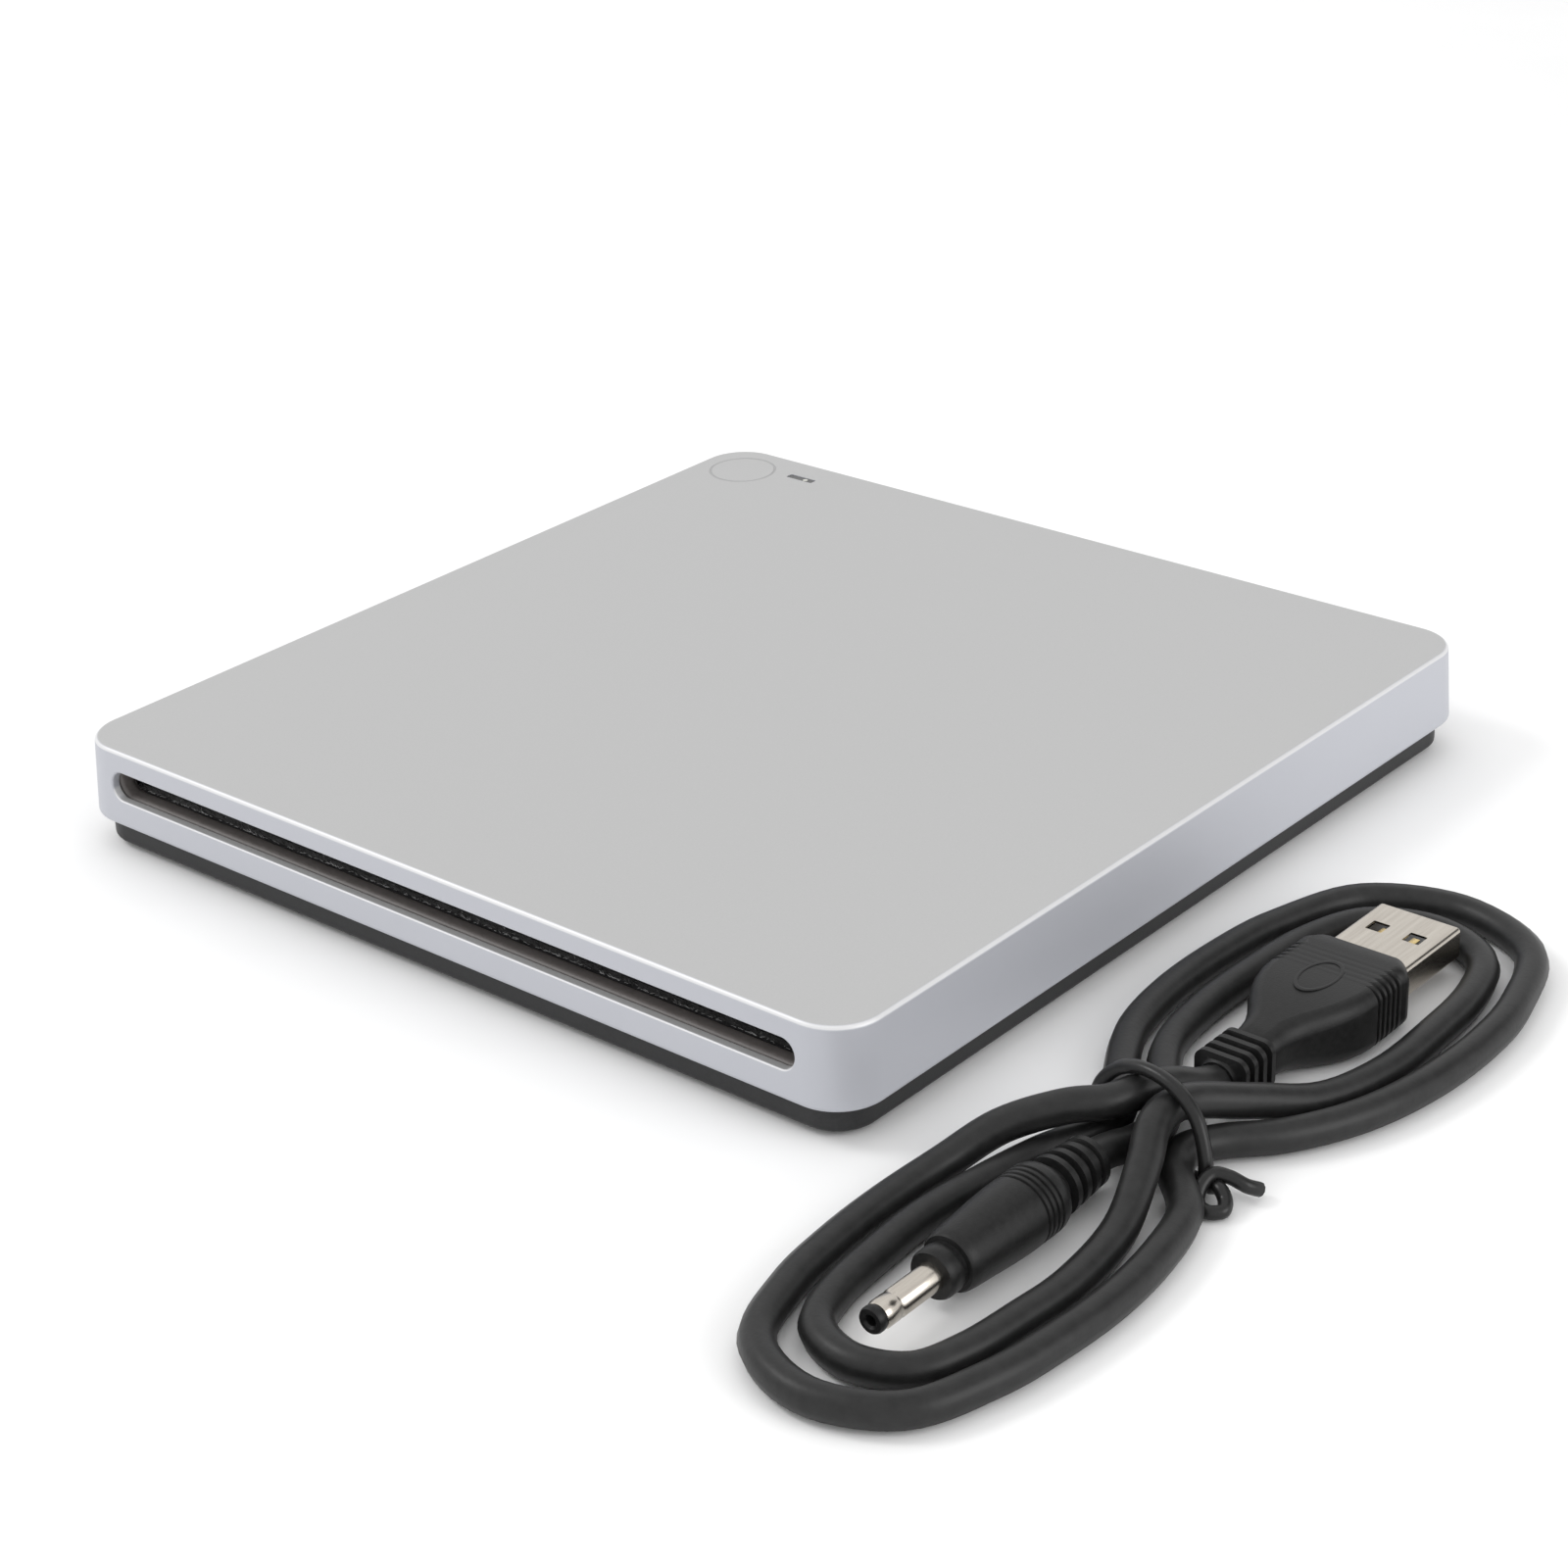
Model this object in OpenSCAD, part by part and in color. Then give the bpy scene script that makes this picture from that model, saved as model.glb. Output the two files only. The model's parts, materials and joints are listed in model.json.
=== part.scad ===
// Slot-loading external optical drive: an aluminium shell on a black base, a slim slot-in
// disc drive inside, and a bundled USB-to-barrel power lead beside it.
// +Z is up, the disc slot faces -Y, and the origin is on the table under the case's middle.

/* [Case] */
// Width of the shell's top face
body_w = 140; // [138:1:172]
// Depth of the shell's top face, front to back
body_d = 143; // [142:1:172]
// Height of the aluminium shell
shell_h = 11.6; // [11.6:0.2:15]
// Wall thickness of the aluminium shell
shell_t = 1.2; // [0.8:0.1:1.4]
// Outward lean of each side over the shell's height
side_draft = 0.5; // [0.2:0.1:1]
// Plan radius of the shell's corners
corner_r = 7; // [4:0.5:9]
// Height of the black band under the shell
band_h = 3.9; // [3.9:0.1:5]
// How far the band stands back from the shell's lower edge
band_inset = 1.8; // [1.6:0.1:2.4]
// Thickness of the base cover's floor and rim
base_t = 1.2; // [1:0.1:1.4]
// Thickness of the rubber feet
foot_t = 0.8; // [0.5:0.1:1.5]
// Diameter of the rubber feet
foot_d = 10; // [6:1:14]

/* [Disc path] */
// Diameter of the disc
disc_d = 120; // [120]
// Width of the slot beyond the disc, both sides together
slot_play = 4.6; // [3:0.1:5]
// Height of the slot
slot_h = 4.2; // [4.2:0.1:4.6]
// Depth of the plastic liner behind the front wall
liner_depth = 2.8; // [2:0.1:3.2]
// Thickness of the felt strips behind the liner
felt_t = 1.2; // [0.8:0.1:1.4]

/* [Drive unit] */
// Width of the slim drive unit
unit_w = 128; // [128]
// Depth of the slim drive unit
unit_d = 126; // [126:0.5:127]
// Height of the slim drive unit
unit_h = 12.6; // [12.6]
// Sheet thickness of the unit's lower pan
pan_t = 0.6; // [0.4:0.1:0.7]
// Sheet thickness of the unit's lid
lid_t = 0.5; // [0.4:0.1:0.7]

/* [Mechanism] */
// Lift of the traverse between unloaded and playing
lift = 3.2; // [2.4:0.1:3.2]
// Travel of the cam slider
cam_travel = 12; // [8:0.5:12]
// Diameter of the lift pins
lift_pin_d = 1.2; // [1:0.1:1.2]
// Radial clearance of pins, shafts and rods
fit_gap = 0.05; // [0.03:0.01:0.1]
// Diameter of the sled's guide rods
rod_d = 1.6; // [1.2:0.1:1.6]
// Travel of the optical sled
sled_travel = 34; // [20:1:34]
// Pitch of the sled's lead screw
screw_pitch = 3; // [2:0.5:3]
// Module of the rack and its pinion
rack_m = 0.6; // [0.5:0.05:0.6]
// Module of the worm and its wheel
worm_m = 0.5; // [0.4:0.05:0.5]

/* [Status marks] */
// Outer diameter of the eject ring
ring_d = 11.1; // [8:0.1:14]
// Line width of the eject ring
ring_line = 0.35; // [0.2:0.05:0.6]
// Distance of the eject ring's centre from the left and back edges
ring_edge = 8.6; // [8:0.1:12]
// Width of the status window
window_w = 5.3; // [4:0.1:8]
// Depth of the status window
window_d = 1.4; // [1:0.1:2]

/* [Power lead] */
// Diameter of the lead
cord_d = 4.4; // [3.6:0.1:4.4]
// Distance from the case's side to the bundle's middle
cord_aside = 28; // [26:1:80]
// Diameter of the barrel plug's metal sleeve
barrel_d = 3.5; // [3.5]
// Length of the barrel plug's metal sleeve
barrel_l = 9.5; // [8:0.5:10]

/* [Hidden] */
$fn = 48;
eps = 0.01;

// Heights of the case, from the table up
base_z = foot_t;
split_z = base_z + band_h;
top_z = split_z + shell_h;
ceiling_z = top_z - shell_t;
rim_top_z = split_z + 1.3;

// Drive unit: held by the base and the front wall
unit_z = base_z + base_t + 0.3;
unit_top_z = unit_z + unit_h;
floor_z = unit_z + pan_t;
lid_z = unit_top_z - lid_t;
disc_z = unit_z + 8.7;
slot_lo = disc_z - slot_h / 2;
slot_hi = disc_z + slot_h / 2;
slot_w = disc_d + slot_play;
front_y = -body_d / 2;
liner_y = front_y + shell_t + 0.1;
felt_y = liner_y + liner_depth;
unit_y = felt_y + felt_t + 0.2;
unit_back_y = unit_y + unit_d;
disc_y = unit_y + 3 + disc_d / 2;
inner_w = unit_w - 2 * pan_t;
rest_x = unit_w / 2 - 12.8;
rest_y = unit_d / 2 - 12.6;

// Case screws stand in the gap between the unit and the shell's sides
screw_d = 2;
screw_head_d = 3.8;
post_d = 4.2;
post_x = (unit_w / 2 + body_w / 2 - shell_t) / 2;
post_y = 45;
SCREWS = [for (sx = [-1, 1], sy = [-1, 1]) [sx * post_x, sy * post_y]];

// Back row: bridge board and its sockets
back_y = body_d / 2 - shell_t;
board_t = 1;
bridge_z = rim_top_z + 0.2;
bridge_l = 76;
bridge_d = back_y - unit_back_y - 2;
usb_x = -26;
usb_w = 7.7;
usb_h = 4;
dc_x = -8;
dc_w = 6.5;
dc_h = 5.4;
socket_gap = 0.3;
socket_l = 8.2;
socket_in = 7.4;
ring_x = -body_w / 2 + ring_edge;
ring_y = body_d / 2 - ring_edge;
window_x = ring_x + 10.6;
window_y = ring_y + 2.5;
touch_z = ceiling_z - 1.8;
touch_t = 0.8;

// Traverse: runs from the disc's centre to the front right corner
traverse_turn = -45;
plate_z = floor_z + 2.4;
plate_t = 1;
rotor_r = 12;
rim_z = floor_z + 4.3;
hub_r = 7.4;
hub_top_z = rim_z + 1.6;
rod_z = floor_z + 1.5;
rod_v = 15;
lens_in_u = 24;
sled_z = floor_z + 0.3;
sled_h = 2.9;
sled_back = 9.5;
sled_front = 4.5;
sled_half_v = 18;
window_from_u = rotor_r + 1.5;
window_to_u = lens_in_u + sled_travel + sled_front + 0.6;
screw_v = -20.5;
screw_r = 0.9;
lens_r = 2.2;
guide_r = 1.2;
GUIDES = [for (v = [-13, 13]) disc_plan(window_to_u + 4, v)];

// Loading train: worm, wheel with pinion, and the rack on the cam slider
slider_x = -36;
slider_t = 1.2;
slider_from_y = -40;
slider_to_y = 26;
rack_line_x = slider_x - 3.4;
pinion_n = 16;
pinion_r = rack_m * pinion_n / 2;
gear_x = rack_line_x - pinion_r;
gear_y = -16;
wheel_n = 30;
wheel_r = worm_m * wheel_n / 2;
wheel_z = floor_z + 2.2;
wheel_t = 1;
worm_r = 2;
worm_x = gear_x - wheel_r - worm_r;
worm_z = wheel_z + wheel_t / 2;
worm_pitch = PI * worm_m;
worm_turns = 6;
worm_y0 = gear_y - (worm_turns / 2 + 0.5) * worm_pitch;
pin_z = floor_z + 1.6;
LIFT_PINS_Y = [disc_y - 4, disc_y + 16];

// Arms: hang under the lid and carry rubber tips that touch the disc's rim
arm_t = 0.8;
arm_z = lid_z - 0.3 - arm_t;
arm_w = 6;
arm_strip_w = 2.8;
arm_pin_r = 1.5;
tip_r = 1.2;
tip_lo_z = disc_z - 1.6;
side_arm_x = disc_d / 2 - 3;
side_arm_y = unit_y + 12;
side_tip = [disc_d / 2 + tip_r + 0.5, disc_y];
eject_pivot = [disc_d / 2 - 3, unit_back_y - 11];
eject_tip_at = [15, disc_y + disc_d / 2];

// Power lead: all points are measured from the middle of the bundle's tie
cord_r = cord_d / 2;
cord_at = [body_w / 2 + cord_aside, -50, 0];
lay = 2.3;
tie_w = 3;
tie_t = 0.5;
tie_in_w = 16.6;
tie_in_h = 9.6;
usb_relief_l = 8;
usb_boot_l = 25;
usb_boot_w = 16;
usb_boot_h = 8.6;
usb_shell_w = 12;
usb_shell_h = 4.5;
usb_shell_l = 14;
dc_relief_l = 9;
dc_boot_l = 18;
dc_boot_r = 4.5;
dc_collar_l = 3;
dc_tip_l = 1.2;
DC_END = [-1, -10, 4.6];
USB_END = [1, 13, 4.5];
ROUTE = [DC_END, [-0.8, -6.5, 4.1], [-0.3, -2.5, 3.2], [-0.3, 3, 2.8], [-4.5, 10, lay],
    [-10, 19, lay], [-12, 30, lay], [-12, 42, lay], [-11, 52.5, lay], [-7.5, 61, lay],
    [1, 64.5, lay], [9.5, 61, lay], [13, 52.5, lay], [14, 42, lay], [14, 30, lay],
    [11.3, 19.5, 2.6], [7, 11, 5], [3, 3, 7.3], [3, -3, 7.3], [5.5, -9, 5.4], [8.5, -18, 2.7],
    [10, -29, lay], [9.5, -38, lay], [8.5, -46, lay], [5.9, -52.4, lay], [-0.5, -55, lay],
    [-6.9, -52.4, lay], [-9.5, -46, lay], [-10.5, -38, lay], [-11, -29, lay], [-10, -19, lay],
    [-8.5, -10, lay], [-6.2, -4, 2.6], [-5.2, 0, 2.8], [-7, 4.5, 2.6], [-11.5, 11, lay],
    [-16, 20, lay], [-18, 31, lay], [-18, 43, lay], [-16.5, 54, lay], [-11.4, 66.4, lay],
    [1, 71.5, lay], [13.4, 66.4, lay], [18.5, 54, lay], [20, 43, lay], [19.5, 31, lay],
    [17, 20, lay], [12.4, 11, lay], [7, 4.5, 2.6], [5.2, 0, 2.8], [7, -4.5, 2.6], [12, -10, lay],
    [14.5, -19, lay], [15.5, -29, lay], [15, -39, lay], [13.5, -48.5, lay], [9.4, -58.4, lay],
    [-0.5, -62.5, lay], [-10.4, -58.4, lay], [-14.5, -48.5, lay], [-16, -39, lay],
    [-16.5, -29, lay], [-15.5, -19, 3], [-12.5, -12, 5.6], [-7.5, -6.5, 7.4], [-3.8, -2.5, 7.5],
    [-2.2, 2, 7.5], [-0.8, 6, 6.9], [0.5, 9.5, 5.5], USB_END];

// A slab of the case's plan outline, grown or shrunk by grow on every side
module slab(z, grow) {
    r = max(corner_r + grow, 0.5);
    translate([0, 0, z]) linear_extrude(eps) hull()
        for (sx = [-1, 1], sy = [-1, 1])
            translate([sx * (body_w / 2 + grow - r), sy * (body_d / 2 + grow - r)]) circle(r, $fn = 32);
}

// A slot with round ends through the front wall, seen along Y
module round_slot(width, height, from_y, depth) {
    translate([0, from_y, disc_z]) rotate([-90, 0, 0]) {
        translate([-(width - height) / 2, -height / 2, 0]) cube([width - height, height, depth]);
        for (sx = [-1, 1]) translate([sx * (width - height) / 2, 0, 0]) cylinder(d = height, h = depth);
    }
}

module rod(r, from, to) {
    translate([from, 0, 0]) rotate([0, 90, 0]) cylinder(r = r, h = to - from);
}

// The place in the case of a point u along the traverse and v across it
function disc_plan(u, v) = [cos(traverse_turn) * u - sin(traverse_turn) * v,
    disc_y + sin(traverse_turn) * u + cos(traverse_turn) * v];

// Drawn in the traverse's own directions: +X towards the corner, the origin at the disc's centre
module on_traverse() {
    translate([0, disc_y, 0]) rotate([0, 0, traverse_turn]) children();
}

// Straight-sided gear teeth around a disc
module gear(n, m, h) {
    r = m * n / 2;
    root = r - 1.1 * m;
    tip = r + 0.8 * m;
    cylinder(r = root + 0.05, h = h);
    for (i = [0:n - 1]) rotate([0, 0, i * 360 / n]) linear_extrude(h)
        polygon([[root - 0.3, -0.8 * m], [root, -0.8 * m], [tip, -0.3 * m], [tip, 0.3 * m],
            [root, 0.8 * m], [root - 0.3, 0.8 * m]]);
}

// A right-handed single-start thread along +Z
module thread(r, depth, pitch, turns) {
    linear_extrude(pitch * turns, twist = -360 * turns, slices = 10 * turns, $fn = 10)
        translate([depth / 2, 0]) circle(r - depth / 2, $fn = 12);
}

// ---- case ----
module top_cover() {
    color([0.76, 0.76, 0.77]) difference() {
        union() {
            difference() {
                hull() {
                    slab(split_z, side_draft - 0.8);
                    slab(split_z + 0.25, side_draft - 0.25);
                    slab(split_z + 0.9, side_draft - 0.04);
                    slab(top_z - 0.7, 0.02);
                    slab(top_z - 0.2, -0.18);
                    slab(top_z - eps, -0.7);
                }
                hull() {
                    slab(split_z - 1, side_draft - shell_t);
                    slab(ceiling_z - eps, -shell_t);
                }
            }
            for (p = SCREWS) translate([p.x, p.y, rim_top_z])
                cylinder(d = post_d, h = ceiling_z - rim_top_z + eps);
        }
        for (p = SCREWS) translate([p.x, p.y, rim_top_z - eps])
            cylinder(d = screw_d + 2 * fit_gap, h = 6.2);
        round_slot(slot_w, slot_h, front_y - 2, shell_t + 3);
        translate([ring_x, ring_y, top_z - 0.3]) difference() {
            cylinder(d = ring_d + 0.04, h = 1);
            translate([0, 0, -eps]) cylinder(d = ring_d - 2 * ring_line - 0.04, h = 2);
        }
        translate([window_x - window_w / 2, window_y - window_d / 2, ceiling_z - 1])
            cube([window_w, window_d, shell_t + 2]);
        translate([usb_x - usb_w / 2 - socket_gap, back_y - 2, bridge_z + board_t - socket_gap])
            cube([usb_w + 2 * socket_gap, 6, usb_h + 2 * socket_gap]);
        translate([dc_x - dc_w / 2 - socket_gap, back_y - 2, bridge_z + board_t - socket_gap])
            cube([dc_w + 2 * socket_gap, 6, dc_h + 2 * socket_gap]);
    }
}

module base_cover() {
    out = side_draft - band_inset;
    edge_r = 2.5;
    color([0.2, 0.2, 0.21]) difference() {
        union() {
            difference() {
                hull() {
                    for (a = [0, 30, 60, 90])
                        slab(base_z + edge_r * (1 - sin(a)), out - edge_r * (1 - cos(a)));
                    slab(rim_top_z - eps, out);
                }
                hull() {
                    slab(base_z + base_t + 1.5, out - base_t);
                    slab(base_z + base_t, out - base_t - 1.5);
                    slab(rim_top_z + 1, out - base_t);
                }
            }
            for (p = SCREWS) translate([p.x, p.y, base_z + base_t - eps])
                cylinder(d = post_d, h = rim_top_z - base_z - base_t + eps);
            for (sx = [-1, 1], sy = [-1, 1])
                translate([sx * rest_x, unit_y + unit_d / 2 + sy * rest_y, base_z + base_t - eps])
                    cylinder(d = 6, h = unit_z - base_z - base_t + eps);
            for (x = [-bridge_l / 2 + 4, bridge_l / 2 - 4])
                translate([x, back_y - bridge_d / 2 - 1, base_z + base_t - eps])
                    cylinder(d = 4, h = bridge_z - base_z - base_t + eps);
        }
        for (p = SCREWS) translate([p.x, p.y, base_z - eps]) {
            cylinder(d = screw_d + 2 * fit_gap, h = rim_top_z);
            cylinder(d = screw_head_d + 0.3, h = 1.4);
        }
    }
}

module foot(sx, sy) {
    color([0.1, 0.1, 0.1]) translate([sx * (body_w / 2 - 18), sy * (body_d / 2 - 17), 0]) {
        cylinder(d = foot_d - 0.6, h = foot_t);
        translate([0, 0, 0.3]) cylinder(d = foot_d, h = foot_t - 0.3);
    }
}

module case_screws() {
    color([0.35, 0.35, 0.37]) for (p = SCREWS) translate([p.x, p.y, base_z + 0.2]) difference() {
        union() {
            cylinder(d = screw_head_d, h = 1.1);
            cylinder(d = screw_d, h = rim_top_z + 5.8 - base_z);
        }
        for (a = [0, 90]) rotate([0, 0, a]) translate([-1.2, -0.25, -eps]) cube([2.4, 0.5, 0.6]);
    }
}

module slot_liner() {
    w = slot_w + 3;
    color([0.14, 0.14, 0.14]) difference() {
        translate([-w / 2, liner_y, rim_top_z + 0.2]) cube([w, liner_depth, ceiling_z - rim_top_z - 0.3]);
        round_slot(slot_w - 0.2, slot_h, liner_y - 1, liner_depth + 2);
        round_slot(slot_w + 1.2, slot_h + 1.2, liner_y + liner_depth - 0.8, 2);
    }
}

module felt(z0, z1) {
    color([0.05, 0.05, 0.05]) translate([-slot_w / 2 - 1, felt_y, z0]) cube([slot_w + 2, felt_t, z1 - z0]);
}

module eject_ring() {
    color([0.7, 0.7, 0.71]) translate([ring_x, ring_y, top_z - 0.3]) difference() {
        cylinder(d = ring_d, h = 0.3 - eps);
        translate([0, 0, -1]) cylinder(d = ring_d - 2 * ring_line, h = 3);
    }
}

module led_window() {
    color([0.16, 0.15, 0.15]) translate([window_x, window_y, 0]) {
        translate([-window_w / 2 + 0.05, -window_d / 2 + 0.05, ceiling_z - 0.05])
            cube([window_w - 0.1, window_d - 0.1, shell_t]);
        translate([-window_w / 2 - 0.6, -window_d / 2 - 0.6, ceiling_z - 0.45])
            cube([window_w + 1.2, window_d + 1.2, 0.4]);
    }
}

module touch_board() {
    color([0.1, 0.35, 0.2]) translate([-body_w / 2 + 4.5, unit_back_y + 1.4, touch_z])
        cube([20, back_y - unit_back_y - 3.4, touch_t]);
}

module touch_electrode() {
    z0 = touch_z + touch_t;
    color([0.8, 0.6, 0.35]) translate([ring_x + 0.4, unit_back_y + 5, z0])
        cylinder(d = 6.4, h = ceiling_z - z0);
}

module status_led() {
    z0 = touch_z + touch_t;
    color([0.9, 0.9, 0.8]) translate([window_x - 1.5, window_y - 0.8, z0]) cube([3, 1.6, 0.4]);
}

// ---- bridge electronics ----
module bridge_board() {
    color([0.1, 0.35, 0.2]) translate([-bridge_l / 2, back_y - bridge_d - 1, bridge_z])
        cube([bridge_l, bridge_d, board_t]);
}

module bridge_chip() {
    color([0.12, 0.12, 0.13]) translate([12, back_y - bridge_d / 2 - 4, bridge_z + board_t])
        cube([7, 7, 1.4]);
}

module usb_socket() {
    wall = 0.35;
    from = [usb_x - usb_w / 2, back_y - socket_in, bridge_z + board_t];
    color([0.75, 0.75, 0.77]) translate(from) difference() {
        cube([usb_w, socket_l, usb_h]);
        translate([wall, 1, wall]) cube([usb_w - 2 * wall, 8, usb_h - 2 * wall]);
        for (x = [-eps, usb_w - 0.9]) translate([x, -eps, -eps]) cube([0.9 + eps, 9, 0.9]);
    }
    color([0.1, 0.1, 0.1]) translate([usb_x - 2.4, back_y - 6.6, bridge_z + board_t + usb_h / 2 - 0.3])
        cube([4.8, 5.6, 0.9]);
}

module dc_socket() {
    color([0.1, 0.1, 0.1]) difference() {
        translate([dc_x - dc_w / 2, back_y - socket_in, bridge_z + board_t]) cube([dc_w, socket_l, dc_h]);
        translate([dc_x, back_y - 6.4, bridge_z + board_t + dc_h / 2]) rotate([-90, 0, 0])
            cylinder(d = barrel_d + 0.3, h = 10);
    }
}

module dc_socket_pin() {
    color([0.8, 0.75, 0.5]) translate([dc_x, back_y - 6.4, bridge_z + board_t + dc_h / 2])
        rotate([-90, 0, 0]) cylinder(d = 1.25, h = 6);
}

module link_ribbon() {
    color([0.85, 0.82, 0.7]) translate([-34, unit_back_y, bridge_z - 0.6])
        cube([18, back_y - bridge_d / 2 - 1 - unit_back_y - 2.5, 0.6]);
}

// ---- drive unit ----
module chassis_pan() {
    color([0.72, 0.73, 0.75]) difference() {
        union() {
            difference() {
                translate([-unit_w / 2, unit_y, unit_z]) cube([unit_w, unit_d, unit_h - lid_t - 0.05]);
                translate([-inner_w / 2, unit_y + pan_t, floor_z])
                    cube([inner_w, unit_d - 2 * pan_t, unit_h]);
                translate([-inner_w / 2, unit_y - 1, slot_lo - 0.3]) cube([inner_w, 3, unit_h]);
            }
            translate([gear_x, gear_y, floor_z - eps])
                cylinder(r = 1 - fit_gap, h = wheel_z + wheel_t - floor_z);
            for (y = [worm_y0 - 2.2, worm_y0 + worm_pitch * worm_turns + 1.2])
                translate([worm_x - 1.6, y, floor_z - eps]) cube([3.2, 1, worm_z - floor_z + 1.6]);
            for (p = GUIDES) translate([p.x, p.y, floor_z - eps]) cylinder(r = guide_r, h = 5.6);
            for (y = [slider_from_y + 16, slider_to_y - 6])
                translate([slider_x + slider_t + 0.15, y, floor_z - eps]) cube([1, 4, 1.4]);
        }
        for (y = [worm_y0 - 4, worm_y0 + worm_pitch * worm_turns - 1])
            translate([worm_x, y, worm_z]) rotate([-90, 0, 0]) cylinder(r = 0.75 + fit_gap, h = 5);
        translate([-30, unit_y + unit_d - 3, unit_z + 2.2]) cube([22, 5, 4]);
    }
}

module drive_lid() {
    dish_r = 17;
    color([0.78, 0.79, 0.8]) {
        difference() {
            translate([-unit_w / 2, unit_y, lid_z]) cube([unit_w, unit_d, lid_t]);
            translate([0, disc_y, lid_z - 1]) cylinder(r = dish_r, h = 3);
        }
        translate([0, disc_y, 0]) rotate_extrude() polygon([[3, lid_z - 1.1], [dish_r - 3, lid_z - 1.1],
            [dish_r + 0.2, lid_z], [dish_r + 0.2, unit_top_z], [dish_r - 0.3, unit_top_z],
            [dish_r - 3.2, lid_z - 0.6], [3, lid_z - 0.6]]);
        for (p = [[-side_arm_x, side_arm_y], [side_arm_x, side_arm_y], eject_pivot])
            translate([p.x, p.y, arm_z - 0.3]) {
                cylinder(r = arm_pin_r - fit_gap, h = lid_z - arm_z + 0.3 + eps);
                cylinder(r = arm_pin_r + 0.8, h = 0.25);
            }
    }
}

module main_board() {
    from = [-58, disc_y + 32, floor_z + 0.8];
    notch_x = slider_x - 1.2;
    color([0.1, 0.3, 0.2]) difference() {
        translate(from) cube([112, 24, 1]);
        translate([notch_x, from.y - 1, from.z - 1])
            cube([slider_t + 2.4, slider_to_y + cam_travel + 2 - from.y, 3]);
    }
    color([0.75, 0.75, 0.7]) for (x = [-56, 50]) translate([x, disc_y + 42, floor_z])
        cylinder(r = 1.4, h = 0.85);
}

module servo_chip() {
    color([0.12, 0.12, 0.13]) translate([-2, disc_y + 37, floor_z + 1.8]) cube([14, 14, 1.6]);
}

module load_motor() {
    y1 = worm_y0 - 2.6;
    color([0.7, 0.7, 0.72]) difference() {
        intersection() {
            translate([worm_x, y1 - 14, worm_z]) rotate([-90, 0, 0]) cylinder(r = 4, h = 14);
            translate([worm_x - 5, y1 - 15, floor_z]) cube([10, 16, 2 * (worm_z - floor_z)]);
        }
        translate([worm_x, y1 - 8, worm_z]) rotate([-90, 0, 0]) cylinder(r = 0.75 + fit_gap, h = 10);
    }
}

module load_worm() {
    color([0.85, 0.8, 0.6]) translate([worm_x, worm_y0, worm_z]) rotate([-90, 0, 0]) {
        thread(worm_r + 0.2, 0.9, worm_pitch, worm_turns);
        translate([0, 0, -9]) cylinder(r = 0.75, h = 9 + worm_pitch * worm_turns + 2);
    }
}

module loading_gear() {
    z0 = floor_z + 0.3;
    color([0.9, 0.9, 0.86]) translate([gear_x, gear_y, 0]) difference() {
        union() {
            translate([0, 0, z0]) gear(pinion_n, rack_m, 1.2);
            translate([0, 0, z0]) cylinder(r = pinion_r - 1.2 * rack_m, h = wheel_z - z0 + eps);
            translate([0, 0, wheel_z]) gear(wheel_n, worm_m, wheel_t);
        }
        translate([0, 0, floor_z]) cylinder(r = 1, h = 8);
    }
}

module cam_slider() {
    z0 = floor_z + 0.25;
    pitch = PI * rack_m;
    rack_x = rack_line_x + 1.1 * rack_m;
    run = sqrt(cam_travel * cam_travel + lift * lift);
    color([0.88, 0.88, 0.84]) difference() {
        union() {
            translate([slider_x, slider_from_y, z0]) cube([slider_t, slider_to_y - slider_from_y, 5.6]);
            translate([rack_x, gear_y - cam_travel - 6, z0])
                cube([slider_x - rack_x + eps, cam_travel + 12, 1.2]);
            for (i = [-floor((cam_travel + 5) / pitch):2]) translate([0, gear_y + (i + 0.5) * pitch, z0])
                linear_extrude(1.2) polygon([[rack_x + 0.1, -0.6 * rack_m], [rack_x, -0.6 * rack_m],
                    [rack_line_x - 0.8 * rack_m, -0.3 * rack_m], [rack_line_x - 0.8 * rack_m, 0.3 * rack_m],
                    [rack_x, 0.6 * rack_m], [rack_x + 0.1, 0.6 * rack_m]]);
        }
        for (y = LIFT_PINS_Y) translate([slider_x - 1, y, pin_z]) rotate([-atan2(lift, cam_travel), 0, 0])
            rotate([0, 90, 0]) {
                r = lift_pin_d / 2 + 2 * fit_gap;
                cylinder(r = r, h = slider_t + 2);
                translate([0, -run, 0]) cylinder(r = r, h = slider_t + 2);
                translate([-r, -run, 0]) cube([2 * r, run, slider_t + 2]);
            }
    }
}

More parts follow.
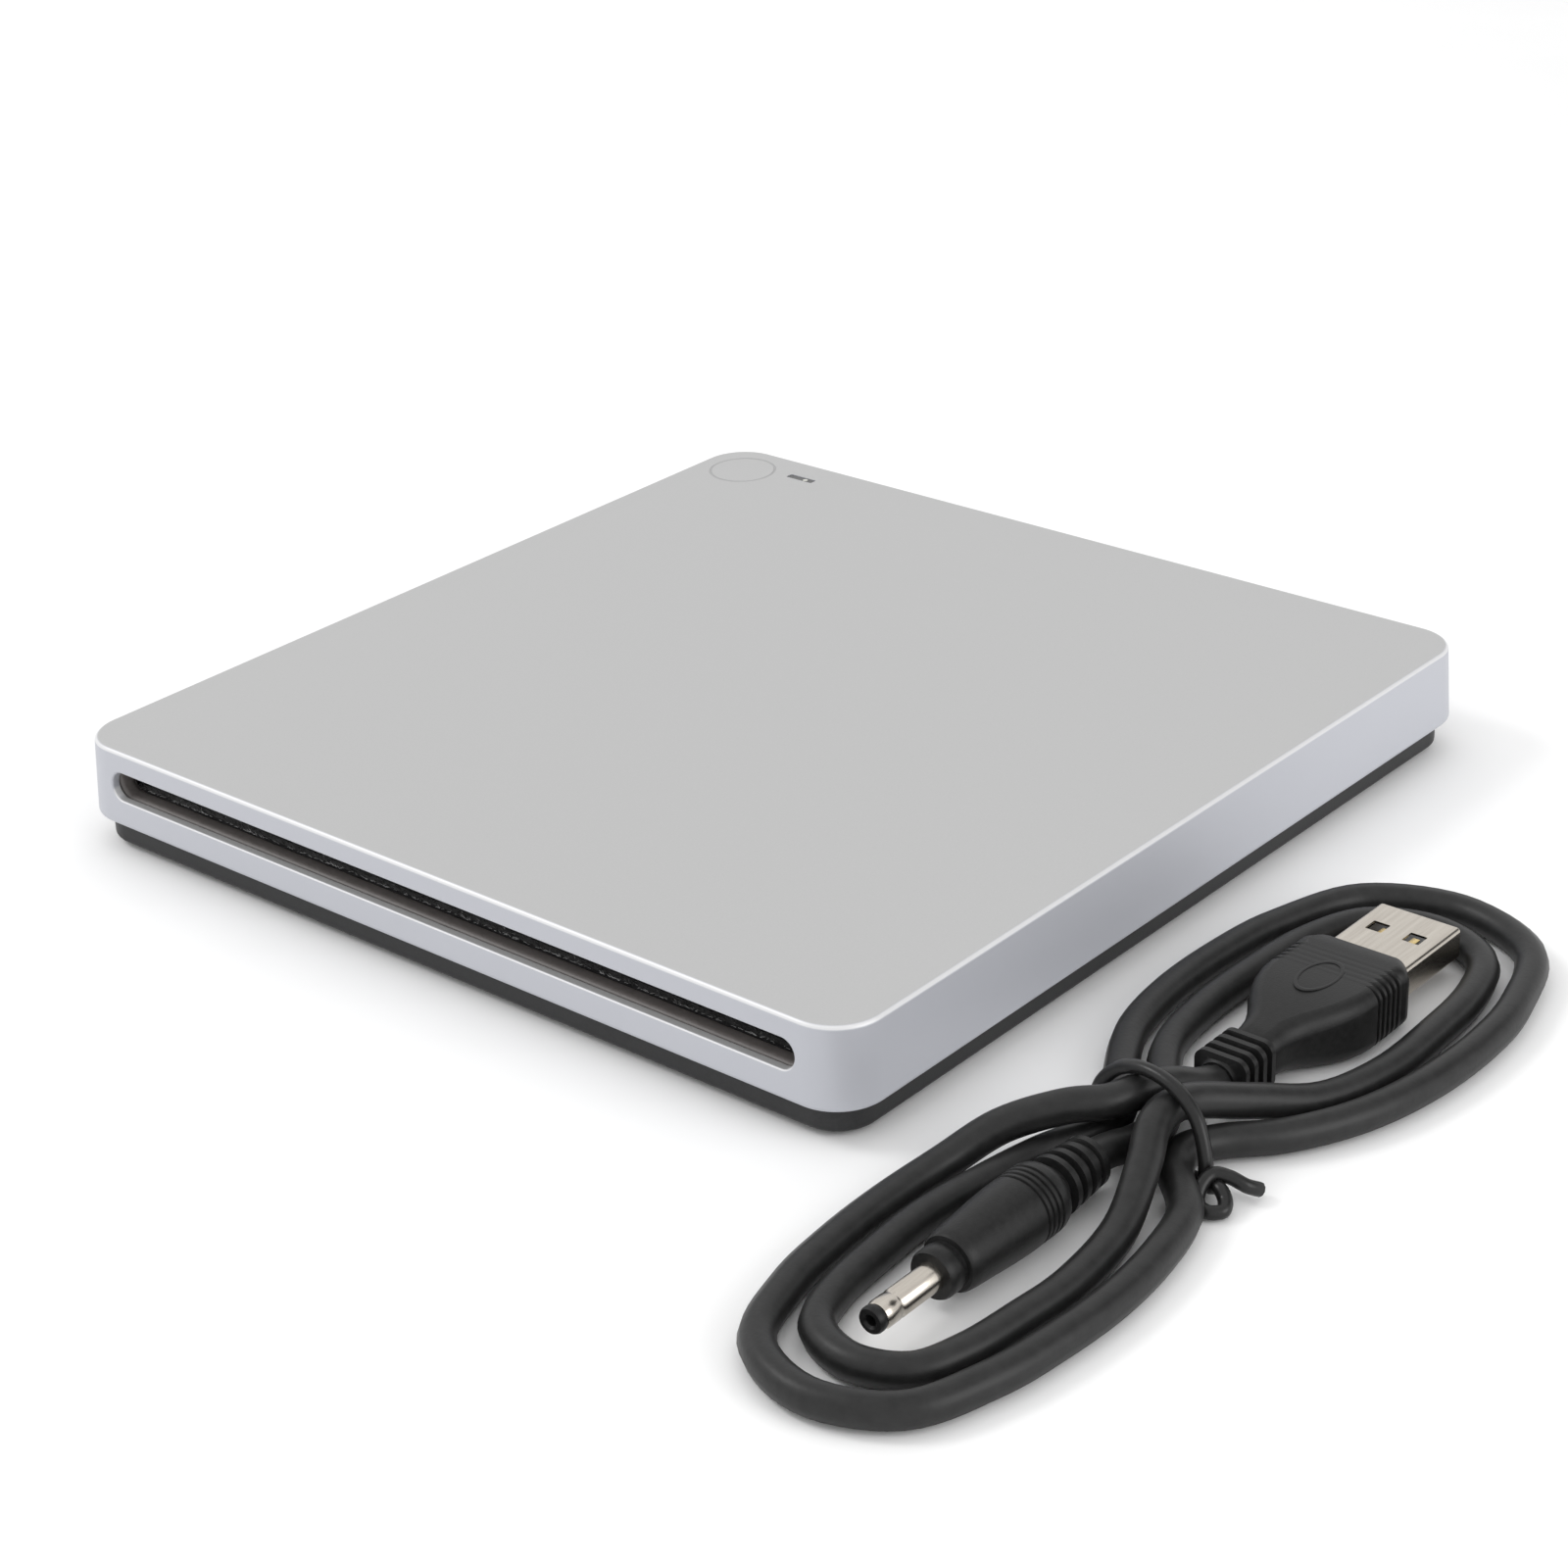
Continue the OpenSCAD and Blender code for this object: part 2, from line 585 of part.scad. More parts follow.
// ---- traverse ----
module traverse_frame() {
    end_u = window_to_u + 7;
    color([0.35, 0.36, 0.38]) difference() {
        union() {
            on_traverse() translate([0, 0, plate_z]) linear_extrude(plate_t)
                polygon([[-19, screw_v - 4.5], [end_u - 9, screw_v - 4.5], [end_u, -17], [end_u, 17],
                    [44, 23], [-19, 23]]);
            translate([slider_x + slider_t + 1.2, LIFT_PINS_Y[0] - 3, plate_z + 0.1])
                cube([24, LIFT_PINS_Y[1] - LIFT_PINS_Y[0] + 6, plate_t - 0.2]);
            for (y = LIFT_PINS_Y) {
                translate([slider_x + slider_t + 1.2, y - 1.5, pin_z - 0.9])
                    cube([2, 3, plate_z - pin_z + 1.3]);
                translate([slider_x + 0.1, y, pin_z]) rotate([0, 90, 0]) cylinder(d = lift_pin_d, h = 3);
            }
            on_traverse() for (u = [window_from_u - 1.2, window_to_u], v = [-rod_v, rod_v])
                translate([u, v - 2, rod_z - 1.3]) cube([1.2, 4, plate_z - rod_z + 1.4]);
        }
        on_traverse() {
            translate([window_from_u, screw_v - 2.2, 0])
                cube([window_to_u - window_from_u, sled_half_v + 0.5 - screw_v + 2.2, 20]);
            translate([0.5, screw_v - 1.8, 0]) cube([window_from_u, 3.6, 20]);
            cylinder(r = rotor_r + 0.6, h = 20);
            for (v = [-rod_v, rod_v]) translate([0, v, rod_z])
                rod(rod_d / 2, window_from_u - 1.3, window_to_u + 1.3);
        }
        for (p = GUIDES) translate([p.x, p.y, 0]) cylinder(r = guide_r + 2 * fit_gap, h = 20);
    }
}

module spindle_base() {
    color([0.6, 0.62, 0.64]) on_traverse() difference() {
        union() {
            translate([-15, -17, plate_z - 0.6]) cube([28.2, 34, 0.6]);
            translate([0, 0, floor_z + 0.3]) cylinder(r = 10, h = plate_z - floor_z - 0.3);
        }
        translate([0, 0, floor_z + 0.7]) cylinder(r = 1 + fit_gap, h = 10);
        for (u = [13.2 - 1.3], v = [-rod_v, rod_v]) translate([u, v - 2.2, 0]) cube([3, 4.4, 20]);
    }
}

module spindle_rotor() {
    color([0.75, 0.76, 0.78]) on_traverse() {
        translate([0, 0, plate_z + 0.15]) cylinder(r = rotor_r, h = rim_z - plate_z - 0.45);
        translate([0, 0, floor_z + 0.8]) cylinder(r = 1, h = plate_z - floor_z);
    }
}

module turntable_pad() {
    color([0.12, 0.12, 0.12]) on_traverse() translate([0, 0, rim_z - 0.3]) difference() {
        cylinder(r = rotor_r, h = 0.3);
        translate([0, 0, -1]) cylinder(r = hub_r + 1, h = 3);
    }
}

module turntable_hub() {
    color([0.2, 0.2, 0.22]) on_traverse() difference() {
        translate([0, 0, rim_z - 0.3]) rotate_extrude() polygon([[0, 0], [hub_r, 0], [hub_r, 1.2],
            [hub_r - 1.2, hub_top_z - rim_z + 0.3], [0, hub_top_z - rim_z + 0.3]]);
        translate([0, 0, hub_top_z - 0.5]) cylinder(r = 2.5, h = 2);
        for (a = [0, 120, 240]) rotate([0, 0, a]) translate([hub_r - 2.4, -1.5, rim_z + 0.3])
            cube([4, 3, 0.8]);
    }
}

module guide_rod(v) {
    color([0.85, 0.86, 0.88]) on_traverse() translate([0, v, rod_z])
        rod(rod_d / 2, window_from_u - 1.2, window_to_u + 1.2);
}

module feed_motor() {
    color([0.68, 0.69, 0.71]) on_traverse() translate([0, screw_v, rod_z]) difference() {
        rod(1.3, 1, 10);
        rod(0.4 + fit_gap, 4, 12);
    }
}

module lead_screw() {
    color([0.82, 0.8, 0.7]) on_traverse() translate([0, screw_v, rod_z]) {
        translate([12, 0, 0]) rotate([0, 90, 0])
            thread(screw_r, 0.3, screw_pitch, floor((window_to_u - 12) / screw_pitch));
        rod(0.4, 5, window_to_u + 0.6);
    }
}

// ---- optical sled ----
module sled() {
    u0 = lens_in_u - sled_back;
    u1 = lens_in_u + sled_front;
    color([0.3, 0.31, 0.33]) on_traverse() difference() {
        translate([u0, -sled_half_v, sled_z]) cube([u1 - u0, 2 * sled_half_v, sled_h]);
        for (v = [-rod_v, rod_v]) translate([0, v, rod_z]) rod(rod_d / 2 + fit_gap, u0 - 1, u1 + 1);
        translate([lens_in_u - 4.2, -6.2, sled_z + 0.8]) cube([8, 12.4, 9]);
        translate([u0 - 1, 8, sled_z + 0.8]) cube([7, 5, 9]);
    }
}

module laser_unit() {
    color([0.8, 0.65, 0.3]) on_traverse() translate([lens_in_u - sled_back + 0.3, 8.2, sled_z + 0.8])
        cube([5.4, 4.6, sled_h - 1.1]);
}

module sled_nut() {
    color([0.9, 0.9, 0.86]) on_traverse() difference() {
        translate([lens_in_u - 6, screw_v - 1.4, rod_z - 1.1])
            cube([6, -screw_v - sled_half_v + 1.4, 2.2]);
        translate([0, screw_v, rod_z]) rod(screw_r + 0.1, lens_in_u - 8, lens_in_u + 2);
    }
}

module lens_holder() {
    color([0.15, 0.15, 0.16]) on_traverse() difference() {
        translate([lens_in_u - 3.6, -5.6, sled_z + 1.4]) cube([6.8, 11.2, 1.9]);
        translate([lens_in_u, 0, 0]) cylinder(r = lens_r, h = 20);
    }
}

module objective_lens() {
    color([0.5, 0.7, 0.9, 0.6]) on_traverse() translate([lens_in_u, 0, sled_z + 1.8]) {
        cylinder(r = lens_r, h = 1);
        translate([0, 0, 1 - eps]) intersection() {
            cylinder(r = 1.7, h = 1);
            translate([0, 0, -2.8]) sphere(r = 3.4);
        }
    }
}

// ---- disc arms ----
module arm(pivot, tip) {
    d = tip - pivot;
    len = norm(d);
    turn = atan2(d.y, d.x);
    color([0.74, 0.75, 0.77]) translate([pivot.x, pivot.y, arm_z]) rotate([0, 0, turn]) difference() {
        union() {
            cylinder(r = arm_w / 2, h = arm_t);
            translate([0, -arm_strip_w / 2, 0]) cube([len - 2, arm_strip_w, arm_t]);
            translate([len, 0, 0]) cylinder(r = tip_r + 0.3, h = arm_t);
            translate([len - 3, -tip_r - 0.2, 0]) cube([3, 2 * tip_r + 0.4, arm_t]);
        }
        translate([0, 0, -1]) cylinder(r = arm_pin_r, h = 4);
    }
}

module arm_tip(at) {
    color([0.15, 0.15, 0.15]) translate([at.x, at.y, tip_lo_z]) cylinder(r = tip_r, h = arm_z - tip_lo_z);
}

// ---- power lead ----
function unit(v) = v / norm(v);
function spline(p, q, r, s, t) = 0.5 * (2 * q + (r - p) * t + (2 * p - 5 * q + 4 * r - s) * t * t
    + (3 * q - p - 3 * r + s) * t * t * t);
function smooth(pts, step) = let (n = len(pts)) [
    for (i = [0:n - 2]) let (m = max(1, round(norm(pts[i + 1] - pts[i]) / step))) for (k = [0:m - 1])
        spline(pts[max(i - 1, 0)], pts[i], pts[i + 1], pts[min(i + 2, n - 1)], k / m),
    pts[n - 1]];
function ring(path, i, r, sides) =
    let (n = len(path), t = unit(path[min(i + 1, n - 1)] - path[max(i - 1, 0)]),
        side = unit(cross(t, [0, 0, 1])), up = cross(side, t))
    [for (k = [0:sides - 1]) path[i] + r * (cos(360 * k / sides) * side + sin(360 * k / sides) * up)];

module tube(path, r, sides = 8) {
    n = len(path);
    polyhedron(points = [for (i = [0:n - 1]) each ring(path, i, r, sides)],
        faces = concat([[for (k = [0:sides - 1]) k]],
            [for (i = [0:n - 2], k = [0:sides - 1]) let (a = i * sides + k, b = i * sides + (k + 1) % sides)
                [a, a + sides, b + sides, b]],
            [[for (k = [sides - 1:-1:0]) (n - 1) * sides + k]]));
}

module power_cord() {
    color([0.07, 0.07, 0.07]) translate(cord_at) tube(smooth(ROUTE, 3 * cord_d), cord_r);
}

module cord_tie() {
    color([0.1, 0.1, 0.1]) translate(cord_at + [0, tie_w / 2, 0]) rotate([90, 0, 0])
        linear_extrude(tie_w) difference() {
            translate([-tie_in_w / 2 - tie_t, 0]) square([tie_in_w + 2 * tie_t, tie_in_h + 2 * tie_t]);
            translate([-tie_in_w / 2, tie_t]) square([tie_in_w, tie_in_h]);
        }
}

// Drawn along +Z from the lead's end at the USB plug, with the plug's width along X
module at_usb_plug(along = 0) {
    translate(cord_at + USB_END + [0, along, 0]) rotate([-90, 0, 0]) children();
}

module usb_plug_boot() {
    color([0.07, 0.07, 0.07]) at_usb_plug() {
        cylinder(r1 = cord_r + 0.4, r2 = cord_r + 1, h = usb_relief_l);
        translate([-usb_boot_w / 2, -usb_boot_h / 2, usb_relief_l - eps])
            cube([usb_boot_w, usb_boot_h, usb_boot_l]);
    }
}

module usb_plug_shell() {
    wall = 0.3;
    inner = [usb_shell_w - 2 * wall, usb_shell_h - 2 * wall, usb_shell_l + 2];
    color([0.75, 0.75, 0.77]) at_usb_plug(usb_relief_l + usb_boot_l) difference() {
        translate([-usb_shell_w / 2, -usb_shell_h / 2, 0]) cube([usb_shell_w, usb_shell_h, usb_shell_l]);
        translate([-inner.x / 2, -inner.y / 2, -1]) cube(inner);
        for (x = [-3.8, 1.3]) translate([x, -usb_shell_h, 6.5]) cube([2.5, 3.5, 2.5]);
    }
}

module usb_plug_tongue() {
    color([0.9, 0.9, 0.9]) at_usb_plug(usb_relief_l + usb_boot_l)
        translate([0.4 - usb_shell_w / 2, 0, 0]) cube([usb_shell_w - 0.8, 1.9, usb_shell_l - 1.4]);
}

// Drawn along +Z from the lead's end at the barrel plug
module at_dc_plug(along = 0) {
    translate(cord_at + DC_END - [0, along, 0]) rotate([90, 0, 0]) children();
}

module dc_plug_boot() {
    color([0.07, 0.07, 0.07]) at_dc_plug() {
        cylinder(r1 = cord_r + 0.3, r2 = cord_r + 1.1, h = dc_relief_l);
        translate([0, 0, dc_relief_l - eps]) cylinder(r = dc_boot_r, h = dc_boot_l);
        translate([0, 0, dc_relief_l + dc_boot_l - 2 * eps]) cylinder(r = 3, h = dc_collar_l);
    }
}

module dc_plug_barrel() {
    color([0.78, 0.78, 0.8]) at_dc_plug(dc_relief_l + dc_boot_l + dc_collar_l) difference() {
        cylinder(d = barrel_d, h = barrel_l);
        translate([0, 0, -1]) cylinder(d = barrel_d - 0.8, h = barrel_l + 2);
    }
}

module dc_plug_tip() {
    color([0.1, 0.1, 0.1]) at_dc_plug(dc_relief_l + dc_boot_l + dc_collar_l) difference() {
        cylinder(d = barrel_d - 0.8, h = barrel_l + dc_tip_l);
        translate([0, 0, 1]) cylinder(d = 1.35, h = barrel_l + dc_tip_l);
    }
}

top_cover();
base_cover();
foot(-1, -1);  // foot_front_left
foot(1, -1);  // foot_front_right
foot(-1, 1);  // foot_back_left
foot(1, 1);  // foot_back_right
case_screws();
slot_liner();
felt(slot_hi + 0.05, ceiling_z - 0.3);  // upper_felt
felt(rim_top_z + 0.4, slot_lo - 0.05);  // lower_felt
eject_ring();
led_window();
touch_board();
touch_electrode();
status_led();
bridge_board();
bridge_chip();
usb_socket();
dc_socket();
dc_socket_pin();
link_ribbon();
chassis_pan();
drive_lid();
main_board();
servo_chip();
load_motor();
load_worm();
loading_gear();
cam_slider();
traverse_frame();
spindle_base();
guide_rod(rod_v);  // guide_rod_left
guide_rod(-rod_v);  // guide_rod_right
feed_motor();
lead_screw();
spindle_rotor();
turntable_pad();
turntable_hub();
sled();
laser_unit();
sled_nut();
lens_holder();
objective_lens();
arm([-side_arm_x, side_arm_y], [-side_tip.x, side_tip.y]);  // left_arm
arm_tip([-side_tip.x, side_tip.y]);  // left_tip
arm([side_arm_x, side_arm_y], side_tip);  // right_arm
arm_tip(side_tip);  // right_tip
arm(eject_pivot, eject_tip_at);  // eject_arm
arm_tip(eject_tip_at);  // eject_tip
power_cord();
cord_tie();
usb_plug_boot();
usb_plug_shell();
usb_plug_tongue();
dc_plug_boot();
dc_plug_barrel();
dc_plug_tip();
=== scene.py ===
# %% [markdown]
# # A slot-loading disc drive and its power lead
#
# The working model of this drive arrives as a fixed frame: every part is in its place and at its real size,
# and it never moves here. This lesson dresses it. We load the frame first. Everything we add has to stay
# inside the box that it fills.

# %% Load the frame
import json
import math
import random

import bmesh
import bpy
from mathutils import Matrix, Vector


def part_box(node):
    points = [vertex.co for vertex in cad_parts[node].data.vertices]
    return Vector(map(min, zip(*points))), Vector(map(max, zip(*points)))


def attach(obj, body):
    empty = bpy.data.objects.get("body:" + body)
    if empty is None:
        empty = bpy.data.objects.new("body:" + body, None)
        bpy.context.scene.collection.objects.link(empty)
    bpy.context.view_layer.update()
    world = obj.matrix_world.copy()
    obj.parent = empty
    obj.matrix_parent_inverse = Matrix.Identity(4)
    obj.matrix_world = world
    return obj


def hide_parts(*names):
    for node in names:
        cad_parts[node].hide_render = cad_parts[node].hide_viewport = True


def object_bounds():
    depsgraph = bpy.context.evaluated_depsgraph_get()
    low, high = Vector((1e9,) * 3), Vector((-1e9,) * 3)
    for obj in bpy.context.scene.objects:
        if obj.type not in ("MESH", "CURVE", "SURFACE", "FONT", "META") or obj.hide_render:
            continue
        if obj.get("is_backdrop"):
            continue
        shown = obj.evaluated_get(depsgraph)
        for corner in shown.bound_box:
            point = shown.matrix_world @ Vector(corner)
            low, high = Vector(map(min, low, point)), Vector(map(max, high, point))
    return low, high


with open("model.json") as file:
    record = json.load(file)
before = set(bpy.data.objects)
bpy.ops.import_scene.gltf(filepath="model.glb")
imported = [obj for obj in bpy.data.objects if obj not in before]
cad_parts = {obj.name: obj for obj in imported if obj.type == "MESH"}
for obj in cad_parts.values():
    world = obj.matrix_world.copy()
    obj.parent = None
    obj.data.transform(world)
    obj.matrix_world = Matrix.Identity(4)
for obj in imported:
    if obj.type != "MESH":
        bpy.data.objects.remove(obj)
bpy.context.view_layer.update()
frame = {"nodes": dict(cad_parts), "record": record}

MM = 0.001
nodes = frame["nodes"]

# %% [markdown]
# ## The camera
#
# A camera can be placed by eye, or worked out from the direction that it looks in. We work it
# out: two angles say where it stands round the drive and how high, one small angle tips it on
# its side, and its distance is counted in widths of the lid, so it follows the drive's size.

# %% Place the camera
cover_low, cover_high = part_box("top_cover")
side_draft = 0.5 * MM
lid_w = 2 * (cover_high.x - side_draft)
lid_d = 2 * (cover_high.y - side_draft)

azimuth, elevation, roll = (math.radians(x) for x in (41.04, 26.04, -2.09))
camera_distance = 3.396 * lid_w
look_at = Vector((0.038 * lid_w, -0.044 * lid_w, cover_low.z))

back = Vector((math.sin(azimuth) * math.cos(elevation),
               -math.cos(azimuth) * math.cos(elevation), math.sin(elevation)))
level = Vector((math.cos(azimuth), math.sin(azimuth), 0))
upright = back.cross(level)
right = level * math.cos(roll) + upright * math.sin(roll)
up = upright * math.cos(roll) - level * math.sin(roll)

camera = bpy.data.objects.new("camera", bpy.data.cameras.new("camera"))
camera.data.sensor_width = 36
camera.data.lens = 76.7
camera.data.clip_start, camera.data.clip_end = 0.01, 20
camera.matrix_world = Matrix.Translation(look_at + back * camera_distance) @ Matrix(
    (right, up, back)).transposed().to_4x4()
bpy.context.scene.collection.objects.link(camera)
bpy.context.scene.camera = camera
print("camera stands", round(camera_distance, 3), "m away")

# %% [markdown]
# ## The lead
#
# The lead is one length of black cord that joins the two plugs. It is folded into a flat bundle of loops and
# held in the middle by a tie. A cord could be modelled as a chain of tubes, but a curve with a round bevel
# is easier to route and never kinks. The list holds points along its middle line, measured in millimetres
# from the bundle's middle, and a spline rounds them off.

# %% Route the lead
cord_d = 4.4 * MM
cord_at = Vector((cover_high.x - side_draft + 28 * MM, -50 * MM, 0))
lay = 2.3
DC_END = (-1, -10, 4.6)
USB_END = (1, 13, 4.5)
ROUTE = [
    DC_END, (-0.8, -6.5, 4.1), (-0.3, -2.5, 3.2), (-0.3, 3, 2.8), (-4.5, 10, lay),
    (-10, 19, lay), (-12, 30, lay), (-12, 42, lay), (-11, 52.5, lay), (-7.5, 61, lay),
    (1, 64.5, lay), (9.5, 61, lay), (13, 52.5, lay), (14, 42, lay), (14, 30, lay),
    (11.3, 19.5, 2.6), (7, 11, 5), (3, 3, 7.3), (3, -3, 7.3), (5.5, -9, 5.4), (8.5, -18, 2.7),
    (10, -29, lay), (9.5, -38, lay), (8.5, -46, lay), (5.9, -52.4, lay), (-0.5, -55, lay),
    (-6.9, -52.4, lay), (-9.5, -46, lay), (-10.5, -38, lay), (-11, -29, lay), (-10, -19, lay),
    (-8.5, -10, lay), (-6.2, -4, 2.6), (-5.2, 0, 2.8), (-7, 4.5, 2.6), (-11.5, 11, lay),
    (-16, 20, lay), (-18, 31, lay), (-18, 43, lay), (-16.5, 54, lay), (-11.4, 66.4, lay),
    (1, 71.5, lay), (13.4, 66.4, lay), (18.5, 54, lay), (20, 43, lay), (19.5, 31, lay),
    (17, 20, lay), (12.4, 11, lay), (7, 4.5, 2.6), (5.2, 0, 2.8), (7, -4.5, 2.6), (12, -10, lay),
    (14.5, -19, lay), (15.5, -29, lay), (15, -39, lay), (13.5, -48.5, lay), (9.4, -58.4, lay),
    (-0.5, -62.5, lay), (-10.4, -58.4, lay), (-14.5, -48.5, lay), (-16, -39, lay),
    (-16.5, -29, lay), (-15.5, -19, 3), (-12.5, -12, 5.6), (-7.5, -6.5, 7.4), (-3.8, -2.5, 7.5),
    (-2.2, 2, 7.5), (-0.8, 6, 6.9), (0.5, 9.5, 5.5), USB_END,
]


def spline(p, q, r, s, t):
    """The point at share t of the way from q to r, on a smooth line through all four."""
    return 0.5 * (2 * q + (r - p) * t + (2 * p - 5 * q + 4 * r - s) * t * t
                  + (3 * q - p - 3 * r + s) * t ** 3)


def smooth_line(points, steps):
    """The points joined by a spline, with that many steps between two of them."""
    line = []
    last = len(points) - 1
    for i in range(last):
        four = [points[max(i - 1, 0)], points[i], points[i + 1], points[min(i + 2, last)]]
        line += [spline(*four, k / steps) for k in range(steps)]
    return line + [points[last]]


def wire(name, line, diameter, fineness=3):
    """A round wire of one open spline along the line."""
    curve = bpy.data.curves.new(name, "CURVE")
    curve.dimensions = "3D"
    curve.bevel_depth = diameter / 2
    curve.bevel_resolution = fineness
    curve.use_fill_caps = True
    run = curve.splines.new("POLY")
    run.points.add(len(line) - 1)
    for point, place in zip(run.points, line):
        point.co = (*place, 1)
    run.use_smooth = True
    made = bpy.data.objects.new(name, curve)
    bpy.context.scene.collection.objects.link(made)
    return made


cord_line = [cord_at + p for p in smooth_line([Vector(p) * MM for p in ROUTE], 7)]
lead = wire("lead", cord_line, cord_d)

# %% [markdown]
# ## Finishes
#
# Every finish here is procedural: noise at the real grain's size mixes two shades, changes the
# gloss a little from place to place, and raises a fine bump. All of it reads Object
# coordinates, so a pattern stays put on its part when the part moves. One helper makes the
# mottled ground that most finishes start from.


# %% A helper for mottled finishes
def finish(name, shades, grain, gloss, bump=0.1, metal=0.0, stretch=(1, 1, 1), **sockets):
    """Two shades mixed by noise about as big as the grain; gloss is the roughness's range."""
    made = bpy.data.materials.new(name)
    made.use_nodes = True
    tree = made.node_tree
    shader = tree.nodes["Principled BSDF"]
    place = tree.nodes.new("ShaderNodeTexCoord")
    turn = tree.nodes.new("ShaderNodeMapping")
    turn.inputs["Scale"].default_value = stretch
    tree.links.new(place.outputs["Object"], turn.inputs["Vector"])

    mottle = tree.nodes.new("ShaderNodeTexNoise")
    mottle.inputs["Scale"].default_value = 1 / grain
    mottle.inputs["Detail"].default_value = 4
    tree.links.new(turn.outputs["Vector"], mottle.inputs["Vector"])

    shade = tree.nodes.new("ShaderNodeValToRGB")
    shade.name = "shades"
    shade.color_ramp.elements[0].position = 0.3
    shade.color_ramp.elements[1].position = 0.7
    for stop, colour in zip(shade.color_ramp.elements, shades):
        stop.color = (*colour, 1)
    tree.links.new(mottle.outputs["Fac"], shade.inputs["Fac"])
    tree.links.new(shade.outputs["Color"], shader.inputs["Base Color"])

    dull = tree.nodes.new("ShaderNodeMapRange")
    dull.inputs["To Min"].default_value, dull.inputs["To Max"].default_value = gloss
    tree.links.new(mottle.outputs["Fac"], dull.inputs["Value"])
    tree.links.new(dull.outputs["Result"], shader.inputs["Roughness"])

    fine = tree.nodes.new("ShaderNodeTexNoise")
    fine.inputs["Scale"].default_value = 3 / grain
    fine.inputs["Detail"].default_value = 2
    tree.links.new(turn.outputs["Vector"], fine.inputs["Vector"])
    raised = tree.nodes.new("ShaderNodeBump")
    raised.inputs["Strength"].default_value = bump
    raised.inputs["Distance"].default_value = grain / 10
    tree.links.new(fine.outputs["Fac"], raised.inputs["Height"])
    tree.links.new(raised.outputs["Normal"], shader.inputs["Normal"])

    shader.inputs["Metallic"].default_value = metal
    for socket, value in sockets.items():
        shader.inputs[socket.replace("_", " ").title().replace("Ior", "IOR")].default_value = value
    return made


def grey(level, blue=0.0):
    """A neutral shade, or a slightly blue one."""
    return (level, level, level * (1 + blue))


# %% [markdown]
# ### Anodised aluminium
#
# The shell is bead-blasted and anodised: an even silver skin with a grain too fine to see one by one. From
# above it reads as a neutral grey. The upright sides get a painted shade, a touch bluer, and the rolled top
# edge gets a painted highlight. So the colour follows how far the surface faces up.

# %% The shell's finish
aluminium = finish("anodised_aluminium", [grey(0.443), grey(0.463)], grain=0.25 * MM,
                   gloss=(0.40, 0.48), bump=0.12, metal=0.22)


def paint_facing_light(made, painted_side_shade, painted_edge_highlight):
    """Paints light by facing: a painted shade where the surface stands upright and a painted highlight on
    the rolled top edge.
    """
    tree = made.node_tree
    place = tree.nodes.new("ShaderNodeTexCoord")
    split = tree.nodes.new("ShaderNodeSeparateXYZ")
    tree.links.new(place.outputs["Normal"], split.inputs["Vector"])
    colour = tree.nodes["shades"].outputs["Color"]
    # First ramp: painted shade on upright faces; second ramp: painted highlight on the rolled top edge.
    for shade, stops in ((painted_side_shade, ((0.0, 1), (0.86, 1), (0.96, 0))),
                         (painted_edge_highlight, ((0.25, 0), (0.45, 1), (0.80, 1), (0.95, 0)))):
        share = tree.nodes.new("ShaderNodeValToRGB")
        marks = share.color_ramp.elements
        while len(marks) < len(stops):
            marks.new(0.5)
        for mark, (where, level) in zip(marks, stops):
            mark.position = where
        for mark, (where, level) in zip(marks, stops):
            mark.color = (level, level, level, 1)
        mix = tree.nodes.new("ShaderNodeMix")
        mix.data_type = "RGBA"
        mix.inputs["B"].default_value = (*shade, 1)
        tree.links.new(split.outputs["Z"], share.inputs["Fac"])
        tree.links.new(share.outputs["Color"], mix.inputs["Factor"])
        tree.links.new(colour, mix.inputs["A"])
        colour = mix.outputs["Result"]
    tree.links.new(colour, tree.nodes["Principled BSDF"].inputs["Base Color"])


# Painted light: a bluer painted shade on the upright sides and a brighter painted highlight on the rolled
# top edge.
paint_facing_light(aluminium, (0.48, 0.49, 0.53), (0.70, 0.70, 0.71))

# %% [markdown]
# ### Plastics and rubbers
#
# The base is a fine-textured black moulding, the feet and the arm tips are rubber, and the
# lead's jacket and boots are soft plastic with a satin skin. They differ in grain and gloss
# far more than in shade, which is what makes black parts tell apart.

# %% Plastics and rubbers
base_black = finish("textured_black", [grey(0.017, 0.04), grey(0.024, 0.04)], grain=0.5 * MM,
                    gloss=(0.42, 0.55), bump=0.35, specular_ior_level=0.35)
liner_brown = finish("liner_plastic", [(0.135, 0.122, 0.116), (0.165, 0.15, 0.143)], grain=0.8 * MM,
                     gloss=(0.35, 0.48), bump=0.15)
foot_rubber = finish("foot_rubber", [grey(0.018), grey(0.028)], grain=0.6 * MM,
                     gloss=(0.7, 0.85), bump=0.4)
jacket = finish("cord_jacket", [grey(0.012), grey(0.019)], grain=1.6 * MM,
                gloss=(0.36, 0.46), bump=0.12, specular_ior_level=0.32)
boot_black = finish("boot_plastic", [grey(0.008), grey(0.013)], grain=0.7 * MM,
                    gloss=(0.34, 0.46), bump=0.3, specular_ior_level=0.26)
tie_black = finish("tie_plastic", [grey(0.008), grey(0.013)], grain=0.9 * MM,
                   gloss=(0.28, 0.36), bump=0.15, specular_ior_level=0.35)
felt_black = finish("felt_pile", [grey(0.006), grey(0.02)], grain=0.15 * MM,
                    gloss=(0.85, 1.06), bump=0.8, sheen_weight=0.4)
fibre_pale = finish("felt_fibre", [grey(0.30), grey(0.70)], grain=6 * MM,
                    gloss=(0.7, 0.9), bump=0.1)
acetal = finish("gear_acetal", [(0.74, 0.72, 0.66), (0.80, 0.79, 0.74)], grain=2 * MM,
                gloss=(0.3, 0.42), bump=0.08, subsurface_weight=0.05)
frame_black = finish("frame_plastic", [grey(0.035), grey(0.05)], grain=0.9 * MM,
                     gloss=(0.45, 0.6), bump=0.3)
